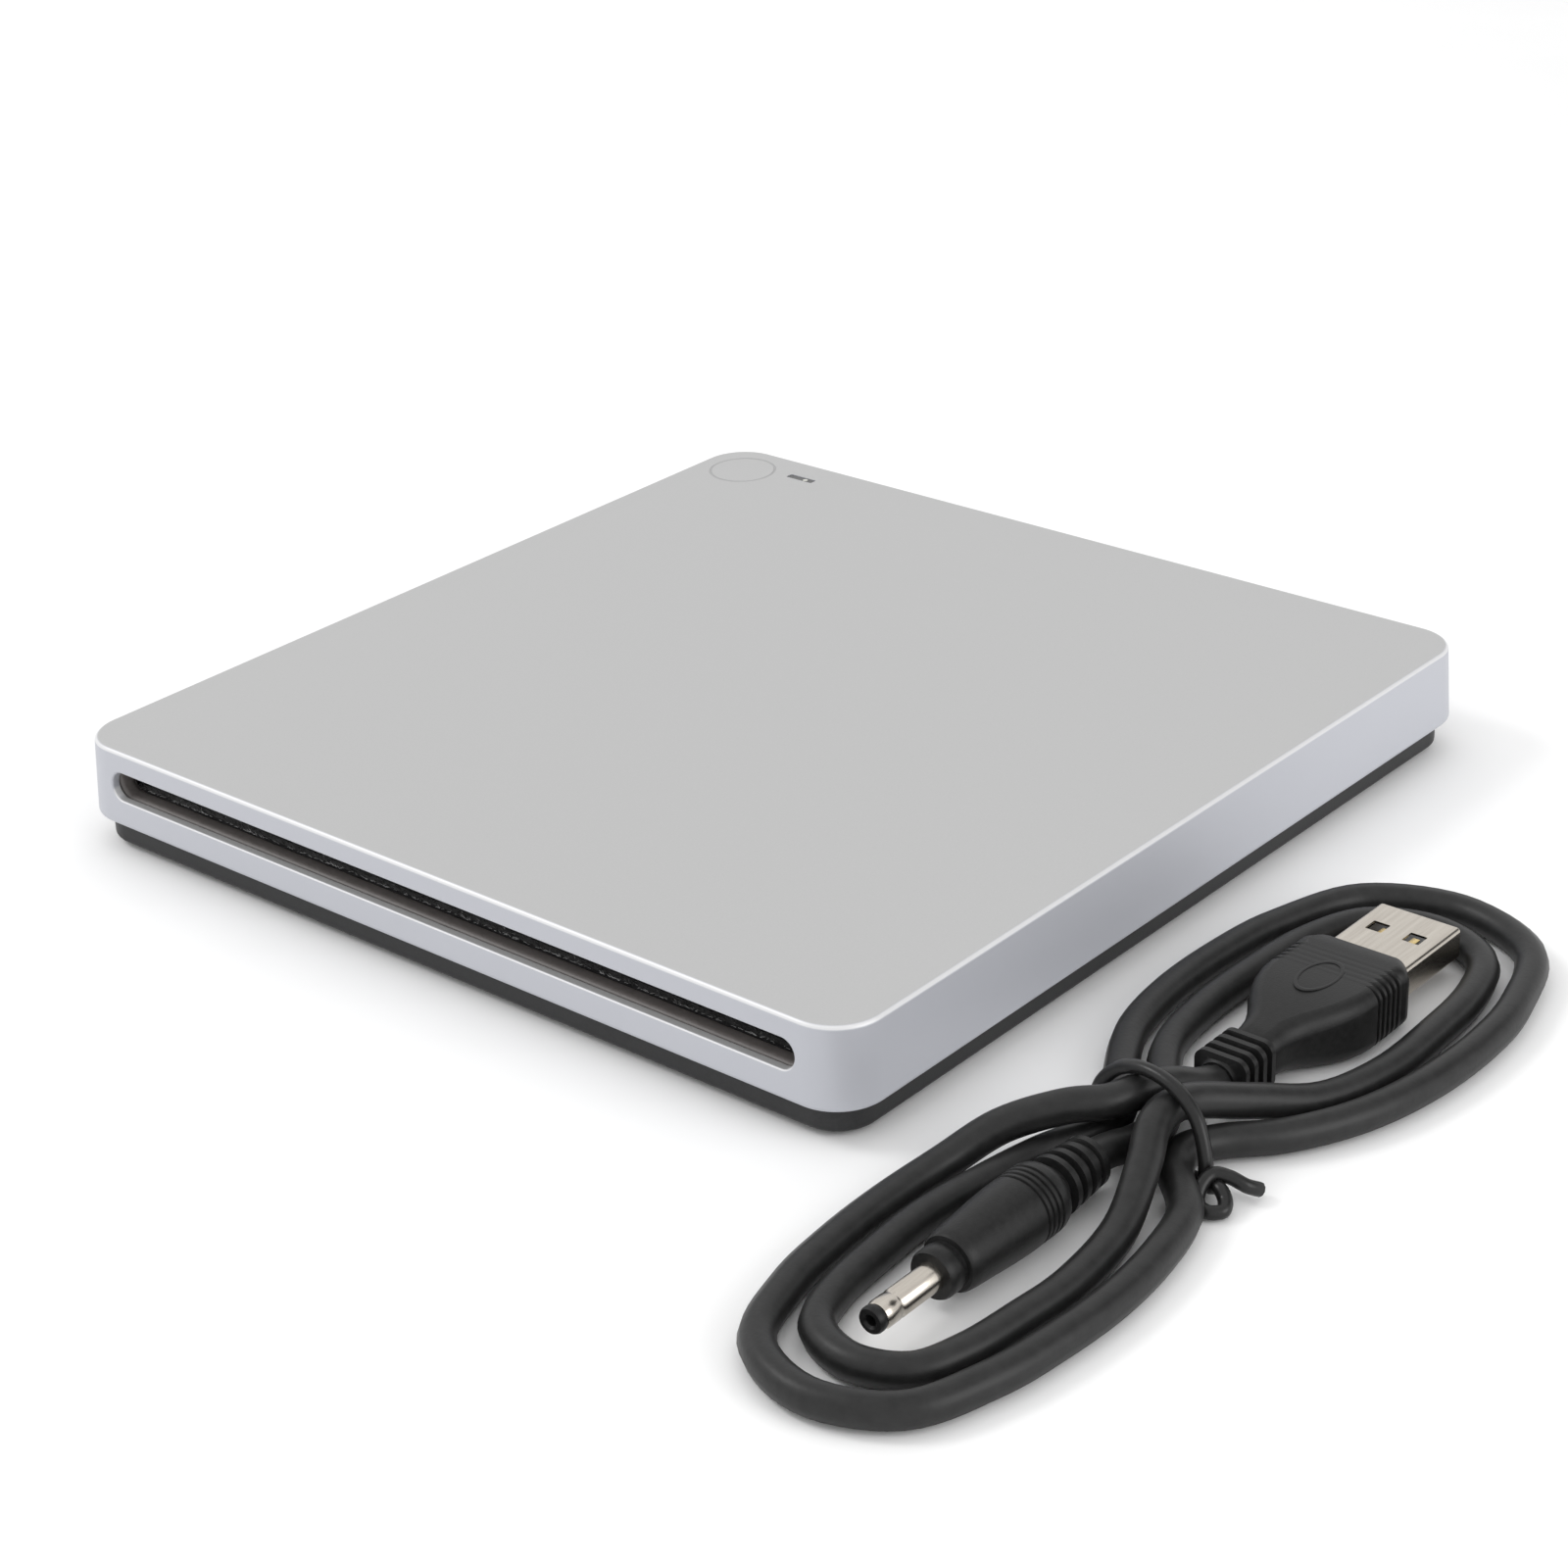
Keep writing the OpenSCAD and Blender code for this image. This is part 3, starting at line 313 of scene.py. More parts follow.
socket_black = finish("socket_plastic", [grey(0.014), grey(0.022)], grain=0.4 * MM,
                      gloss=(0.3, 0.42), bump=0.15)
tongue_dark = finish("tongue_plastic", [grey(0.05), grey(0.07)], grain=0.5 * MM,
                      gloss=(0.35, 0.45), bump=0.1)
chip_black = finish("chip_epoxy", [grey(0.018), grey(0.028)], grain=0.3 * MM,
                    gloss=(0.5, 0.62), bump=0.45)
ribbon_film = finish("ribbon_film", [(0.52, 0.38, 0.16), (0.60, 0.45, 0.20)], grain=1.0 * MM,
                     gloss=(0.3, 0.4), bump=0.06, stretch=(1, 0.1, 1))

# %% [markdown]
# ### Metals
#
# Drawn and rolled metals carry their marks in one direction, so their noise is stretched
# along the part. Plated ones are smooth and bright, and cast ones are coarse and dull.

# %% Metals
rolled_steel = finish("rolled_steel", [grey(0.50, 0.02), grey(0.60, 0.02)], grain=1.2 * MM,
                      gloss=(0.28, 0.42), bump=0.15, metal=1.0, stretch=(1, 0.04, 1))
ground_steel = finish("ground_rod", [grey(0.60), grey(0.70)], grain=0.6 * MM,
                      gloss=(0.12, 0.22), bump=0.05, metal=1.0)
screw_steel = finish("blackened_screw", [grey(0.10), grey(0.16)], grain=0.5 * MM,
                     gloss=(0.3, 0.45), bump=0.2, metal=1.0)
plated_steel = finish("plated_steel", [(0.62, 0.61, 0.58), (0.70, 0.69, 0.66)], grain=0.9 * MM,
                      gloss=(0.2, 0.32), bump=0.06, metal=1.0)
nickel = finish("brushed_nickel", [(0.50, 0.46, 0.41), (0.60, 0.56, 0.50)], grain=0.55 * MM,
                gloss=(0.18, 0.3), bump=0.06, metal=1.0, stretch=(1, 0.06, 1))
brass = finish("plated_brass", [(0.72, 0.52, 0.20), (0.80, 0.62, 0.28)], grain=0.5 * MM,
               gloss=(0.18, 0.3), bump=0.05, metal=1.0)
copper = finish("copper_foil", [(0.62, 0.30, 0.16), (0.72, 0.38, 0.22)], grain=0.8 * MM,
                gloss=(0.25, 0.4), bump=0.08, metal=1.0)
cast_alloy = finish("cast_alloy", [grey(0.16), grey(0.24)], grain=0.7 * MM,
                    gloss=(0.45, 0.62), bump=0.6, metal=1.0)

# %% [markdown]
# ### Circuit board, lens, lamp and window
#
# A board is green lacquer over copper tracks. A wave pattern bent by noise stands in for the
# tracks, and only darkens the lacquer a little. The lens and the lamp are clear, and the
# window is smoked plastic.

# %% Board, lens, lamp, window and ring
board_green = finish("board_lacquer", [(0.008, 0.085, 0.030), (0.012, 0.12, 0.045)],
                     grain=1.5 * MM, gloss=(0.22, 0.34), bump=0.05)


def add_tracks(made, pitch):
    """Straight fine tracks under the lacquer, as a second, lighter shade."""
    tree = made.node_tree
    shader = tree.nodes["Principled BSDF"]
    place = tree.nodes.new("ShaderNodeTexCoord")
    tracks = tree.nodes.new("ShaderNodeTexBrick")
    tracks.inputs["Scale"].default_value = 1 / pitch
    tracks.inputs["Mortar Size"].default_value = 0.06
    tracks.inputs["Mortar"].default_value = (0.03, 0.22, 0.07, 1)
    tree.links.new(place.outputs["Object"], tracks.inputs["Vector"])
    tree.links.new(tree.nodes["shades"].outputs["Color"], tracks.inputs["Color1"])
    tree.links.new(tree.nodes["shades"].outputs["Color"], tracks.inputs["Color2"])
    tree.links.new(tracks.outputs["Color"], shader.inputs["Base Color"])


add_tracks(board_green, 3 * MM)
lens_glass = finish("coated_lens", [(0.35, 0.42, 0.75), (0.45, 0.5, 0.8)], grain=2 * MM,
                    gloss=(0.03, 0.06), bump=0.0, transmission_weight=0.8)
lamp_clear = finish("lamp_clear", [(0.75, 0.75, 0.68), (0.85, 0.85, 0.78)], grain=0.5 * MM,
                    gloss=(0.12, 0.2), bump=0.05, transmission_weight=0.3)
smoked = finish("smoked_window", [grey(0.030), grey(0.055)], grain=1.2 * MM,
                gloss=(0.12, 0.2), bump=0.03)
ring_ink = finish("ring_ink", [grey(0.40), grey(0.44)], grain=0.4 * MM,
                  gloss=(0.5, 0.6), bump=0.1, metal=0.6)
print(len(bpy.data.materials), "finishes")

# %% [markdown]
# ## Helpers for new pieces
#
# Each new piece starts as a bmesh shape, which is bevelled, spun or bridged, and ends as an
# object at the origin with its place in its mesh. One helper makes a bmesh an object and one
# says which parts it stands for. The others draw an outline with round corners, stretch a skin
# over a row of outlines, spin a profile, cut one piece with another, and set the normals.


# %% From a bmesh to a piece
def piece(name, shape, material, place=Matrix(), sharp=35):
    """Puts the bmesh in place and makes it an object with smooth faces and sharp edges."""
    bmesh.ops.remove_doubles(shape, verts=shape.verts, dist=0.0005 * MM)
    bmesh.ops.transform(shape, matrix=place, verts=shape.verts)
    bmesh.ops.recalc_face_normals(shape, faces=shape.faces)
    mesh = bpy.data.meshes.new(name)
    shape.to_mesh(mesh)
    shape.free()
    mesh.materials.append(material)
    mesh.polygons.foreach_set("use_smooth", [True] * len(mesh.polygons))
    mesh.set_sharp_from_angle(angle=math.radians(sharp))
    made = bpy.data.objects.new(name, mesh)
    bpy.context.scene.collection.objects.link(made)
    return made


def stands_for(made, slot, *replaced, body="case"):
    """The piece moves with the body and hides these nodes; the slot argument is not used."""
    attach(made, body)
    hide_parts(*replaced)
    count = len(made.data.polygons) if made.type == "MESH" else len(made.data.splines[0].points)
    print(made.name, "stands for", ", ".join(replaced), "-", count, "faces or points")
    return made


# %% Outlines and skins
def outline(shape, width, height, corner, along, sides=32):
    """One closed outline across Z: a circle whose four quarters are moved apart."""
    half_step = Matrix.Rotation(math.pi / sides, 4, "Z")
    ring = bmesh.ops.create_circle(shape, segments=sides, radius=corner, matrix=half_step)["verts"]
    for v in ring:
        v.co.x += math.copysign(width / 2 - corner, v.co.x)
        v.co.y += math.copysign(height / 2 - corner, v.co.y)
        v.co.z += along
    return list({e for v in ring for e in v.link_edges})


def skin(stations, sides=32):
    """A closed skin over outlines (along, width, height, corner), all in millimetres."""
    shape = bmesh.new()
    loops = [outline(shape, w * MM, h * MM, c * MM, z * MM, sides) for z, w, h, c in stations]
    for a, b in zip(loops, loops[1:]):
        bmesh.ops.bridge_loops(shape, edges=a + b)
    for end in (loops[0], loops[-1]):
        bmesh.ops.contextual_create(shape, geom=end)
    return shape


def turned(profile, steps=48):
    """Spins a profile of (radius, along), in millimetres, about Z, as on a lathe."""
    shape = bmesh.new()
    row = [shape.verts.new((r * MM, 0, z * MM)) for r, z in profile]
    for a, b in zip(row, row[1:]):
        shape.edges.new((a, b))
    bmesh.ops.spin(shape, geom=shape.verts[:] + shape.edges[:], axis=(0, 0, 1), cent=(0, 0, 0),
                   angle=math.tau, steps=steps, use_merge=True)
    return shape


def carve(target, *cutters, how="DIFFERENCE"):
    """Cuts the other objects out of the target, or joins them to it, and removes them."""
    for cutter in cutters:
        step = target.modifiers.new("carve", "BOOLEAN")
        step.operation = how
        step.solver = "EXACT"
        step.object = cutter
    graph = bpy.context.evaluated_depsgraph_get()
    mesh = bpy.data.meshes.new_from_object(target.evaluated_get(graph))
    target.modifiers.clear()
    target.data = mesh
    for cutter in cutters:
        bpy.data.objects.remove(cutter)
    return target


def crisp(made, sharp=35):
    """Smooth faces with sharp edges, and normals that keep the large faces flat."""
    mesh = made.data
    mesh.polygons.foreach_set("use_smooth", [True] * len(mesh.polygons))
    mesh.set_sharp_from_angle(angle=math.radians(sharp))
    weigh = made.modifiers.new("flat_faces", "WEIGHTED_NORMAL")
    weigh.keep_sharp = True
    return made


# %% [markdown]
# ## The aluminium shell
#
# The shell is one pressing: a shallow tray, upside down, with sides that lean out a little and
# edges rolled to a small radius. It could be drawn as a skin of outlines, but a block whose
# edges are bevelled shows each choice plainly: first the upright corners, then the lower edge,
# then the top edge. The same block, made smaller, is cut out of it to leave the wall.


# %% A block with leaning sides and rolled edges
def slab(width, depth, low, high, lean, corner, low_r, high_r, corner_steps=16, roll_steps=6):
    """The size is the top face's; the sides lean out by lean down to the lower edge."""
    shape = bmesh.new()
    bmesh.ops.create_cube(shape, size=1)
    bmesh.ops.scale(shape, vec=(width, depth, high - low), verts=shape.verts)
    bmesh.ops.translate(shape, vec=(0, 0, (low + high) / 2), verts=shape.verts)
    middle = (low + high) / 2
    foot = [v for v in shape.verts if v.co.z < middle]
    bmesh.ops.scale(shape, vec=(1 + 2 * lean / width, 1 + 2 * lean / depth, 1), verts=foot)
    posts = [e for e in shape.edges if abs(e.verts[0].co.z - e.verts[1].co.z) > (high - low) / 2]
    bmesh.ops.bevel(shape, geom=posts, offset=corner, affect="EDGES", segments=corner_steps,
                    profile=0.5, material=-1)
    for level, radius in ((low, low_r), (high, high_r)):
        if radius > 0:
            rim = [e for e in shape.edges if all(abs(v.co.z - level) < 0.001 * MM for v in e.verts)]
            bmesh.ops.bevel(shape, geom=rim, offset=radius, affect="EDGES", segments=roll_steps,
                            profile=0.5, material=-1)
    return shape


shell_t = 1.2 * MM
corner_r = 7 * MM
split_z, top_z = cover_low.z, cover_high.z
shell = piece("silver_shell", slab(lid_w, lid_d, split_z, top_z, side_draft, corner_r,
                                   0.8 * MM, 0.7 * MM), aluminium)
cavity = piece("cavity", slab(lid_w - 2 * shell_t, lid_d - 2 * shell_t, split_z - 1 * MM,
                              top_z - shell_t, side_draft, corner_r - shell_t, 0, 0.4 * MM), aluminium)
carve(shell, cavity)
print("shell wall", shell_t / MM, "mm, faces", len(shell.data.polygons))

# %% [markdown]
# ## The shell's openings
#
# The disc slot has round ends, and its outer rim is softened so that a disc does not catch on
# it. A row of outlines that grows towards the outside cuts the slot and its soft rim in one
# go. The sockets and the window are cut the same way, and four screw posts are joined on.

# %% Cut the slot, the sockets and the window
liner_low, liner_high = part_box("slot_liner")
felt_low, felt_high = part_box("lower_felt")
upper_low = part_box("upper_felt")[0]
slot_bottom, slot_top = felt_high.z + 0.05 * MM, upper_low.z - 0.05 * MM
slot_z = (slot_bottom + slot_top) / 2
slot_h = (slot_top - slot_bottom) / MM
slot_w = (felt_high.x - felt_low.x) / MM - 2
front_y = cover_low.y + side_draft
lean_angle = math.atan2(side_draft, top_z - split_z)
wall_slope = side_draft / (top_z - split_z)
front_at_slot = front_y - wall_slope * (top_z - slot_z)
facing_out = Matrix.Rotation(math.pi / 2, 4, "X")


def slot_rows(depths):
    """Outlines of the slot, each grown by so much at such a depth."""
    return [(z, slot_w + 2 * g, slot_h + 2 * g, slot_h / 2 + g - 0.01) for z, g in depths]


rim_r = 0.3
rolled = [(-rim_r * (1 - math.cos(b)), rim_r * (1 - math.sin(b)))
          for b in (math.radians(x) for x in (90, 67, 45, 22, 0))]
slot_cut = piece("slot_cut", skin(slot_rows([(-4, 0)] + rolled + [(2, rim_r)]), sides=48), aluminium,
                 Matrix.Translation((0, front_at_slot, slot_z))
                 @ Matrix.Rotation(-lean_angle, 4, "X") @ facing_out)

window_low, window_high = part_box("led_window")
window_at = (window_low + window_high) / 2
window_w, window_d = 5.3, 1.4
window_cut = piece("window_cut", skin([(-3, window_w, window_d, 0.3), (2, window_w, window_d, 0.3)]),
                   aluminium, Matrix.Translation((window_at.x, window_at.y, top_z)))

ring_low, ring_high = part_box("eject_ring")
ring_at = (ring_low + ring_high) / 2
ring_r = (ring_high.x - ring_low.x) / 2 / MM
ring_line = 0.35
groove = piece("groove", turned([(ring_r - ring_line - 0.02, -0.2), (ring_r + 0.02, -0.2),
                                 (ring_r + 0.02, 1), (ring_r - ring_line - 0.02, 1),
                                 (ring_r - ring_line - 0.02, -0.2)], 96), aluminium,
               Matrix.Translation((ring_at.x, ring_at.y, top_z)))

socket_cuts = []
for socket in ("usb_socket", "dc_socket"):
    low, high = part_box(socket)
    wide, tall = (high.x - low.x) / MM + 0.6, (high.z - low.z) / MM + 0.6
    hole = piece(socket + "_cut", skin([(-4, wide, tall, 0.5), (4, wide, tall, 0.5)]), aluminium,
                 Matrix.Translation(((low.x + high.x) / 2, cover_high.y, (low.z + high.z) / 2))
                 @ facing_out)
    socket_cuts.append(hole)

screws_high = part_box("case_screws")[1]
screw_x, screw_y = screws_high.x - 1.9 * MM, screws_high.y - 1.9 * MM
SCREWS = [(sx * screw_x, sy * screw_y) for sx in (-1, 1) for sy in (-1, 1)]
ceiling = (top_z - shell_t) / MM
posts = [piece("post", turned([(1.05, 6.2), (2.1, 6.2), (2.1, ceiling + 0.3), (1.05, ceiling + 0.3),
                               (1.05, 6.2)]), aluminium, Matrix.Translation((x, y, 0)))
         for x, y in SCREWS]
carve(shell, *posts, how="UNION")
carve(shell, slot_cut, window_cut, groove, *socket_cuts)
crisp(shell)
stands_for(shell, "shell_aluminium", "top_cover")

# %% [markdown]
# ## The eject mark and the status window
#
# A thin ring, printed in a slightly darker silver, shows where to touch the lid to eject a
# disc. Beside it a small smoked window covers the status lamp.

# %% Ring and window
ring = piece("eject_mark", turned([(ring_r - ring_line, -0.2), (ring_r, -0.2), (ring_r, -0.02),
                                   (ring_r - ring_line, -0.02), (ring_r - ring_line, -0.2)], 96),
             ring_ink, Matrix.Translation((ring_at.x, ring_at.y, top_z)))
stands_for(ring, "ring_ink", "eject_ring")

pane = skin([(-1.65, window_w + 1.2, window_d + 1.2, 0.4), (-1.25, window_w + 1.2, window_d + 1.2, 0.4),
             (-1.25, window_w - 0.1, window_d - 0.1, 0.28), (-0.2, window_w - 0.1, window_d - 0.1, 0.28),
             (-0.1, window_w - 0.2, window_d - 0.2, 0.25)])
window = piece("status_window", pane, smoked, Matrix.Translation((window_at.x, window_at.y, top_z)))
stands_for(window, "smoked_window", "led_window")
spot = piece("lamp_spot", turned([(0, -0.12), (0.42, -0.12), (0.42, -0.07), (0.3, -0.04), (0, -0.04)], 32),
             lamp_clear, Matrix.Translation((window_at.x + 0.9 * MM, window_at.y, top_z)))
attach(spot, "case")

# %% [markdown]
# ## The black base
#
# The base is a shallow black tray that stands back under the shell, so the shell seems to
# float. Its lower edge is rolled to a small radius. It is the same kind of block as the
# shell, the other way up, with screw holes through its floor.

# %% The base tray
base_low, base_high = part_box("base_cover")
base_t = 1.2 * MM
base_w, base_d = 2 * base_high.x, 2 * base_high.y
base_corner = corner_r - (lid_w / 2 - base_high.x)
tray = piece("black_base", slab(base_w, base_d, base_low.z, base_high.z, 0, base_corner,
                                0.8 * MM, 0, roll_steps=6), base_black)
hollow = piece("hollow", slab(base_w - 2 * base_t, base_d - 2 * base_t, base_low.z + base_t,
                              base_high.z + 2 * MM, 0, base_corner - base_t, 1.5 * MM, 0,
                              roll_steps=4), base_black)
carve(tray, hollow)

holes = [piece("screw_hole", turned([(0, -3), (2.05, -3), (2.05, 1.4), (1.05, 1.4), (1.05, 9), (0, 9)]),
               base_black, Matrix.Translation((x, y, base_low.z))) for x, y in SCREWS]
carve(tray, *holes)
crisp(tray)
stands_for(tray, "base_plastic", "base_cover")

# %% [markdown]
# ## Feet
#
# Four stick-on rubber discs lift the base off the table. Each is a short turned disc with a
# rounded lower edge and a slight dish in the middle.

# %% Rubber feet
FOOT = [(0, 0.12), (3.4, 0.12), (4.0, 0), (4.4, 0.04), (4.85, 0.25), (5.0, 0.5), (5.0, 0.8), (0, 0.8)]
for place in ("front_left", "front_right", "back_left", "back_right"):
    low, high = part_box("foot_" + place)
    middle = (low + high) / 2
    foot = piece("pad_" + place, turned(FOOT), foot_rubber, Matrix.Translation((middle.x, middle.y, 0)))
    stands_for(foot, "foot_rubber", "foot_" + place)

# %% [markdown]
# ## The slot's liner
#
# Behind the slot sits a brown-grey plastic frame. Its mouth is a little smaller than the slot,
# so its lower lip shows as a band when one looks in from above.

# %% The liner
liner_w, liner_t = (liner_high.x - liner_low.x) / MM, (liner_high.y - liner_low.y) / MM
liner_z = (liner_low.z + liner_high.z) / 2
liner_tall = (liner_high.z - liner_low.z) / MM
liner = piece("slot_frame", skin([(0, liner_w, liner_tall, 1), (liner_t, liner_w, liner_tall, 1)]),
              liner_brown, Matrix.Translation((0, liner_high.y, liner_z)) @ facing_out)
mouth = piece("mouth", skin(slot_rows([(-1, 0.5), (0.7, 0.5), (0.9, -0.15), (liner_t - 0.7, -0.15),
                                       (liner_t - 0.25, 0.0), (liner_t - 0.05, 0.25), (liner_t + 1, 0.4)])),
              liner_brown, Matrix.Translation((0, liner_high.y, slot_z)) @ facing_out)
carve(liner, mouth)
crisp(liner)
stands_for(liner, "liner_plastic", "slot_liner")

# %% [markdown]
# ## Felt strips
#
# Two strips of black felt close the slot against dust and wipe the disc. Felt is a mass of
# short fibres. A strip alone looks like rubber, so a few hundred hair-thin cones stand out of
# its face towards the slot, and some of them have caught pale dust.


# %% Felt strips with a pile
def add_fibres(shape, low, high, count, inward, seed, lying=False):
    """Hair-thin cones on the strip's edge at the slot; they stand up, or lie along its front."""
    chance = random.Random(seed)
    edge = high.z if inward > 0 else low.z
    for _ in range(count):
        length = chance.uniform(0.25, 0.9) * MM
        spot = Vector((chance.uniform(low.x, high.x), chance.uniform(low.y - 0.1 * MM, high.y), edge))
        aim = Vector((chance.gauss(0, 0.5), chance.gauss(-0.5, 0.5), inward))
        if lying:
            spot.y = low.y + chance.uniform(-0.12, 0.05) * MM
            aim = Vector((chance.choice((-1, 1)), chance.gauss(0, 0.2), inward * abs(chance.gauss(0, 0.35))))
        turn = aim.to_track_quat("Z", "Y").to_matrix().to_4x4()
        middle = spot + aim.normalized() * (length / 2 - 0.05 * MM)
        bmesh.ops.create_cone(shape, cap_ends=False, segments=3, radius1=0.045 * MM,
                              radius2=0.01 * MM, depth=length,
                              matrix=Matrix.Translation(middle) @ turn)


for name, inward, seed in (("lower_felt", 1, 3), ("upper_felt", -1, 5)):
    low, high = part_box(name)
    size = (high - low) / MM
    centre = Matrix.Translation((0, high.y, (low.z + high.z) / 2)) @ facing_out
    body = skin([(0, size.x, size.z, 0.3), (size.y - 0.2, size.x, size.z, 0.3),
                 (size.y, size.x - 0.4, size.z - 0.4, 0.15)])
    bmesh.ops.transform(body, matrix=centre, verts=body.verts)
    add_fibres(body, low, high, 900, inward, seed)
    strip = piece(name + "_pile", body, felt_black)
    stands_for(strip, "felt", name)
    dust = bmesh.new()
    add_fibres(dust, low, high, 40, inward, seed + 20)
    if inward > 0:
        add_fibres(dust, low, high, 260, inward, seed + 40, lying=True)
    lint = piece(name + "_lint", dust, fibre_pale)
    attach(lint, "case")

# %% [markdown]
# ## The USB plug
#
# The boot of the USB plug is soft plastic moulded over the cord. It starts as a ribbed sleeve
# that lets the cord bend, narrows to a neck, then swells to a flat head with grip ribs on its
# sides and cut front corners. A row of outlines along the plug makes all of that: the ribs
# are outlines that are wider and narrower in turn.


# %% The boot's outlines
def ribs(start, pitch, count, out, back_in):
    """Outlines for that many ribs, each with a small flat on top and a groove after it."""
    rows = []
    for i in range(count):
        z = start + i * pitch
        rows += [(z, *back_in), (z + 0.12 * pitch, *out), (z + 0.55 * pitch, *out),
                 (z + 0.68 * pitch, *back_in)]
    return rows


usb_place = Matrix.Translation(cord_at + Vector(USB_END) * MM) @ Matrix.Rotation(-math.pi / 2, 4, "X")
head_w, head_h = 16, 8.6
usb_rows = [(0, 5.0, 5.0, 2.45), (0.3, 5.4, 5.4, 2.6)]
usb_rows += ribs(0.4, 1.9, 4, (7.4, 6.6, 1.6), (5.6, 5.2, 2.0))
usb_rows += [(8.2, 6.4, 6.0, 2.2), (9.6, 6.6, 6.4, 2.3), (11.5, 7.4, 6.9, 2.5), (13.5, 9.2, 7.4, 2.5),
             (15.5, 11.6, 7.9, 2.4), (17.5, 13.6, 8.25, 2.3), (19.5, 15.0, 8.5, 2.2),
             (21.5, 15.8, head_h, 2.1), (23.4, head_w, head_h, 2.0)]
usb_rows += ribs(23.8, 1.15, 5, (head_w, head_h, 2.0), (head_w - 0.9, head_h - 0.05, 2.0))
usb_rows += [(30.0, head_w, head_h, 2.0), (30.8, head_w - 0.1, head_h - 0.05, 2.0),
             (32.2, head_w - 2.2, head_h - 0.3, 2.0), (32.8, head_w - 3.2, head_h - 0.9, 1.7),
             (33.0, head_w - 3.6, head_h - 1.5, 1.4)]
usb_boot = piece("usb_boot", skin(usb_rows, sides=48), boot_black, usb_place, sharp=40)

crisp(usb_boot, 40)
stands_for(usb_boot, "plug_plastic", "usb_plug_boot")

oval = turned([(2.1, -0.1), (2.1, 0.10), (2.3, 0.16), (2.5, 0.10), (2.5, -0.1), (2.1, -0.1)], 48)
bmesh.ops.scale(oval, vec=(1, 1.75, 1), verts=oval.verts)
emboss = piece("boot_oval", oval, boot_black,
               usb_place @ Matrix.Translation((0, -head_h / 2 * MM + 0.05 * MM, 22.5 * MM))
               @ Matrix.Rotation(math.pi / 2, 4, "X"))
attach(emboss, "case")

# %% [markdown]
# The plug's metal shell is folded from thin nickel-plated sheet, with two square windows that
# the socket's springs click into. It is a skin over two outlines, hollowed by a smaller one.

# %% The USB plug's metal shell and tongue
shell_from, usb_shell_l = 33.0, 14
usb_shell_w, usb_shell_h, sheet = 12, 4.5, 0.3
shell_to = shell_from + usb_shell_l
usb_metal = piece("usb_shell", skin([
    (shell_from - 1, usb_shell_w, usb_shell_h, 0.7), (shell_to - 0.25, usb_shell_w, usb_shell_h, 0.7),
    (shell_to, usb_shell_w - 0.25, usb_shell_h - 0.25, 0.6)]), nickel, usb_place)
inner_w, inner_h = usb_shell_w - 2 * sheet, usb_shell_h - 2 * sheet
inside = piece("inside", skin([(shell_from - 0.5, inner_w, inner_h, 0.4),
                               (shell_to + 1, inner_w, inner_h, 0.4)]), nickel, usb_place)
windows = [piece("click", skin([(-3, 2.4, 2.4, 0.15), (3, 2.4, 2.4, 0.15)]), nickel,
                 usb_place @ Matrix.Translation((x * MM, 0, (shell_from + 8) * MM))
                 @ Matrix.Rotation(math.pi / 2, 4, "X")) for x in (-2.7, 2.7)]
carve(usb_metal, inside)
carve(usb_metal, *windows)
crisp(usb_metal)
stands_for(usb_metal, "plug_steel", "usb_plug_shell")

tongue = piece("usb_tongue", skin([(shell_from - 0.4, 11.2, 1.9, 0.2), (shell_from + 12.3, 11.2, 1.9, 0.2),
                                   (shell_from + 12.6, 10.9, 1.6, 0.2)]), tongue_dark,
               usb_place @ Matrix.Translation((0, 0.95 * MM, 0)))
stands_for(tongue, "tongue_plastic", "usb_plug_tongue")
strips = bmesh.new()
for x in (-3.5, -1, 1, 3.5):
    strip = bmesh.ops.create_cube(strips, size=1)["verts"]
    bmesh.ops.scale(strips, vec=(1.0 * MM, 0.12 * MM, 8 * MM), verts=strip)
    bmesh.ops.translate(strips, vec=(x * MM, -0.03 * MM, (shell_from + 7.6) * MM), verts=strip)
bmesh.ops.bevel(strips, geom=strips.edges[:], offset=0.03 * MM, affect="EDGES", segments=2,
                profile=0.5, material=-1)
contacts = piece("usb_contacts", strips, brass, usb_place)
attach(contacts, "case")

# %% [markdown]
# ## The barrel plug
#
# Everything on the barrel plug is round, so each piece is a profile spun on the lathe: the
# boot with its ribs, taper and collar, the bright sleeve, and the black insulator that shows
# at the sleeve's end.

# %% The barrel plug
dc_place = Matrix.Translation(cord_at + Vector(DC_END) * MM) @ Matrix.Rotation(math.pi / 2, 4, "X")
DC_BOOT = [(0, 0), (2.5, 0), (2.7, 0.2)]
for i in range(4):
    z = 0.5 + 2.0 * i
    rib_r = 3.25 + 0.15 * i
    DC_BOOT += [(2.75, z), (rib_r, z + 0.2), (rib_r + 0.05, z + 1.1), (2.8, z + 1.3)]
DC_BOOT += [(2.9, 8.6), (3.7, 9.0), (4.2, 9.6), (4.45, 10.4)]
for i in range(4):
    z = 11.2 + 0.9 * i
    DC_BOOT += [(4.5, z), (4.25, z + 0.12), (4.25, z + 0.38), (4.5, z + 0.5)]
DC_BOOT += [(4.5, 16.0), (4.35, 19), (4.1, 22), (3.85, 25.5), (3.7, 26.6), (3.45, 27), (2.9, 27.1),
            (2.9, 27.7), (3.05, 27.9), (3.05, 29.6), (2.85, 30), (1.75, 30), (1.6, 29), (0, 29)]
dc_boot = piece("barrel_boot", turned(DC_BOOT), boot_black, dc_place, sharp=40)
stands_for(dc_boot, "plug_plastic", "dc_plug_boot")

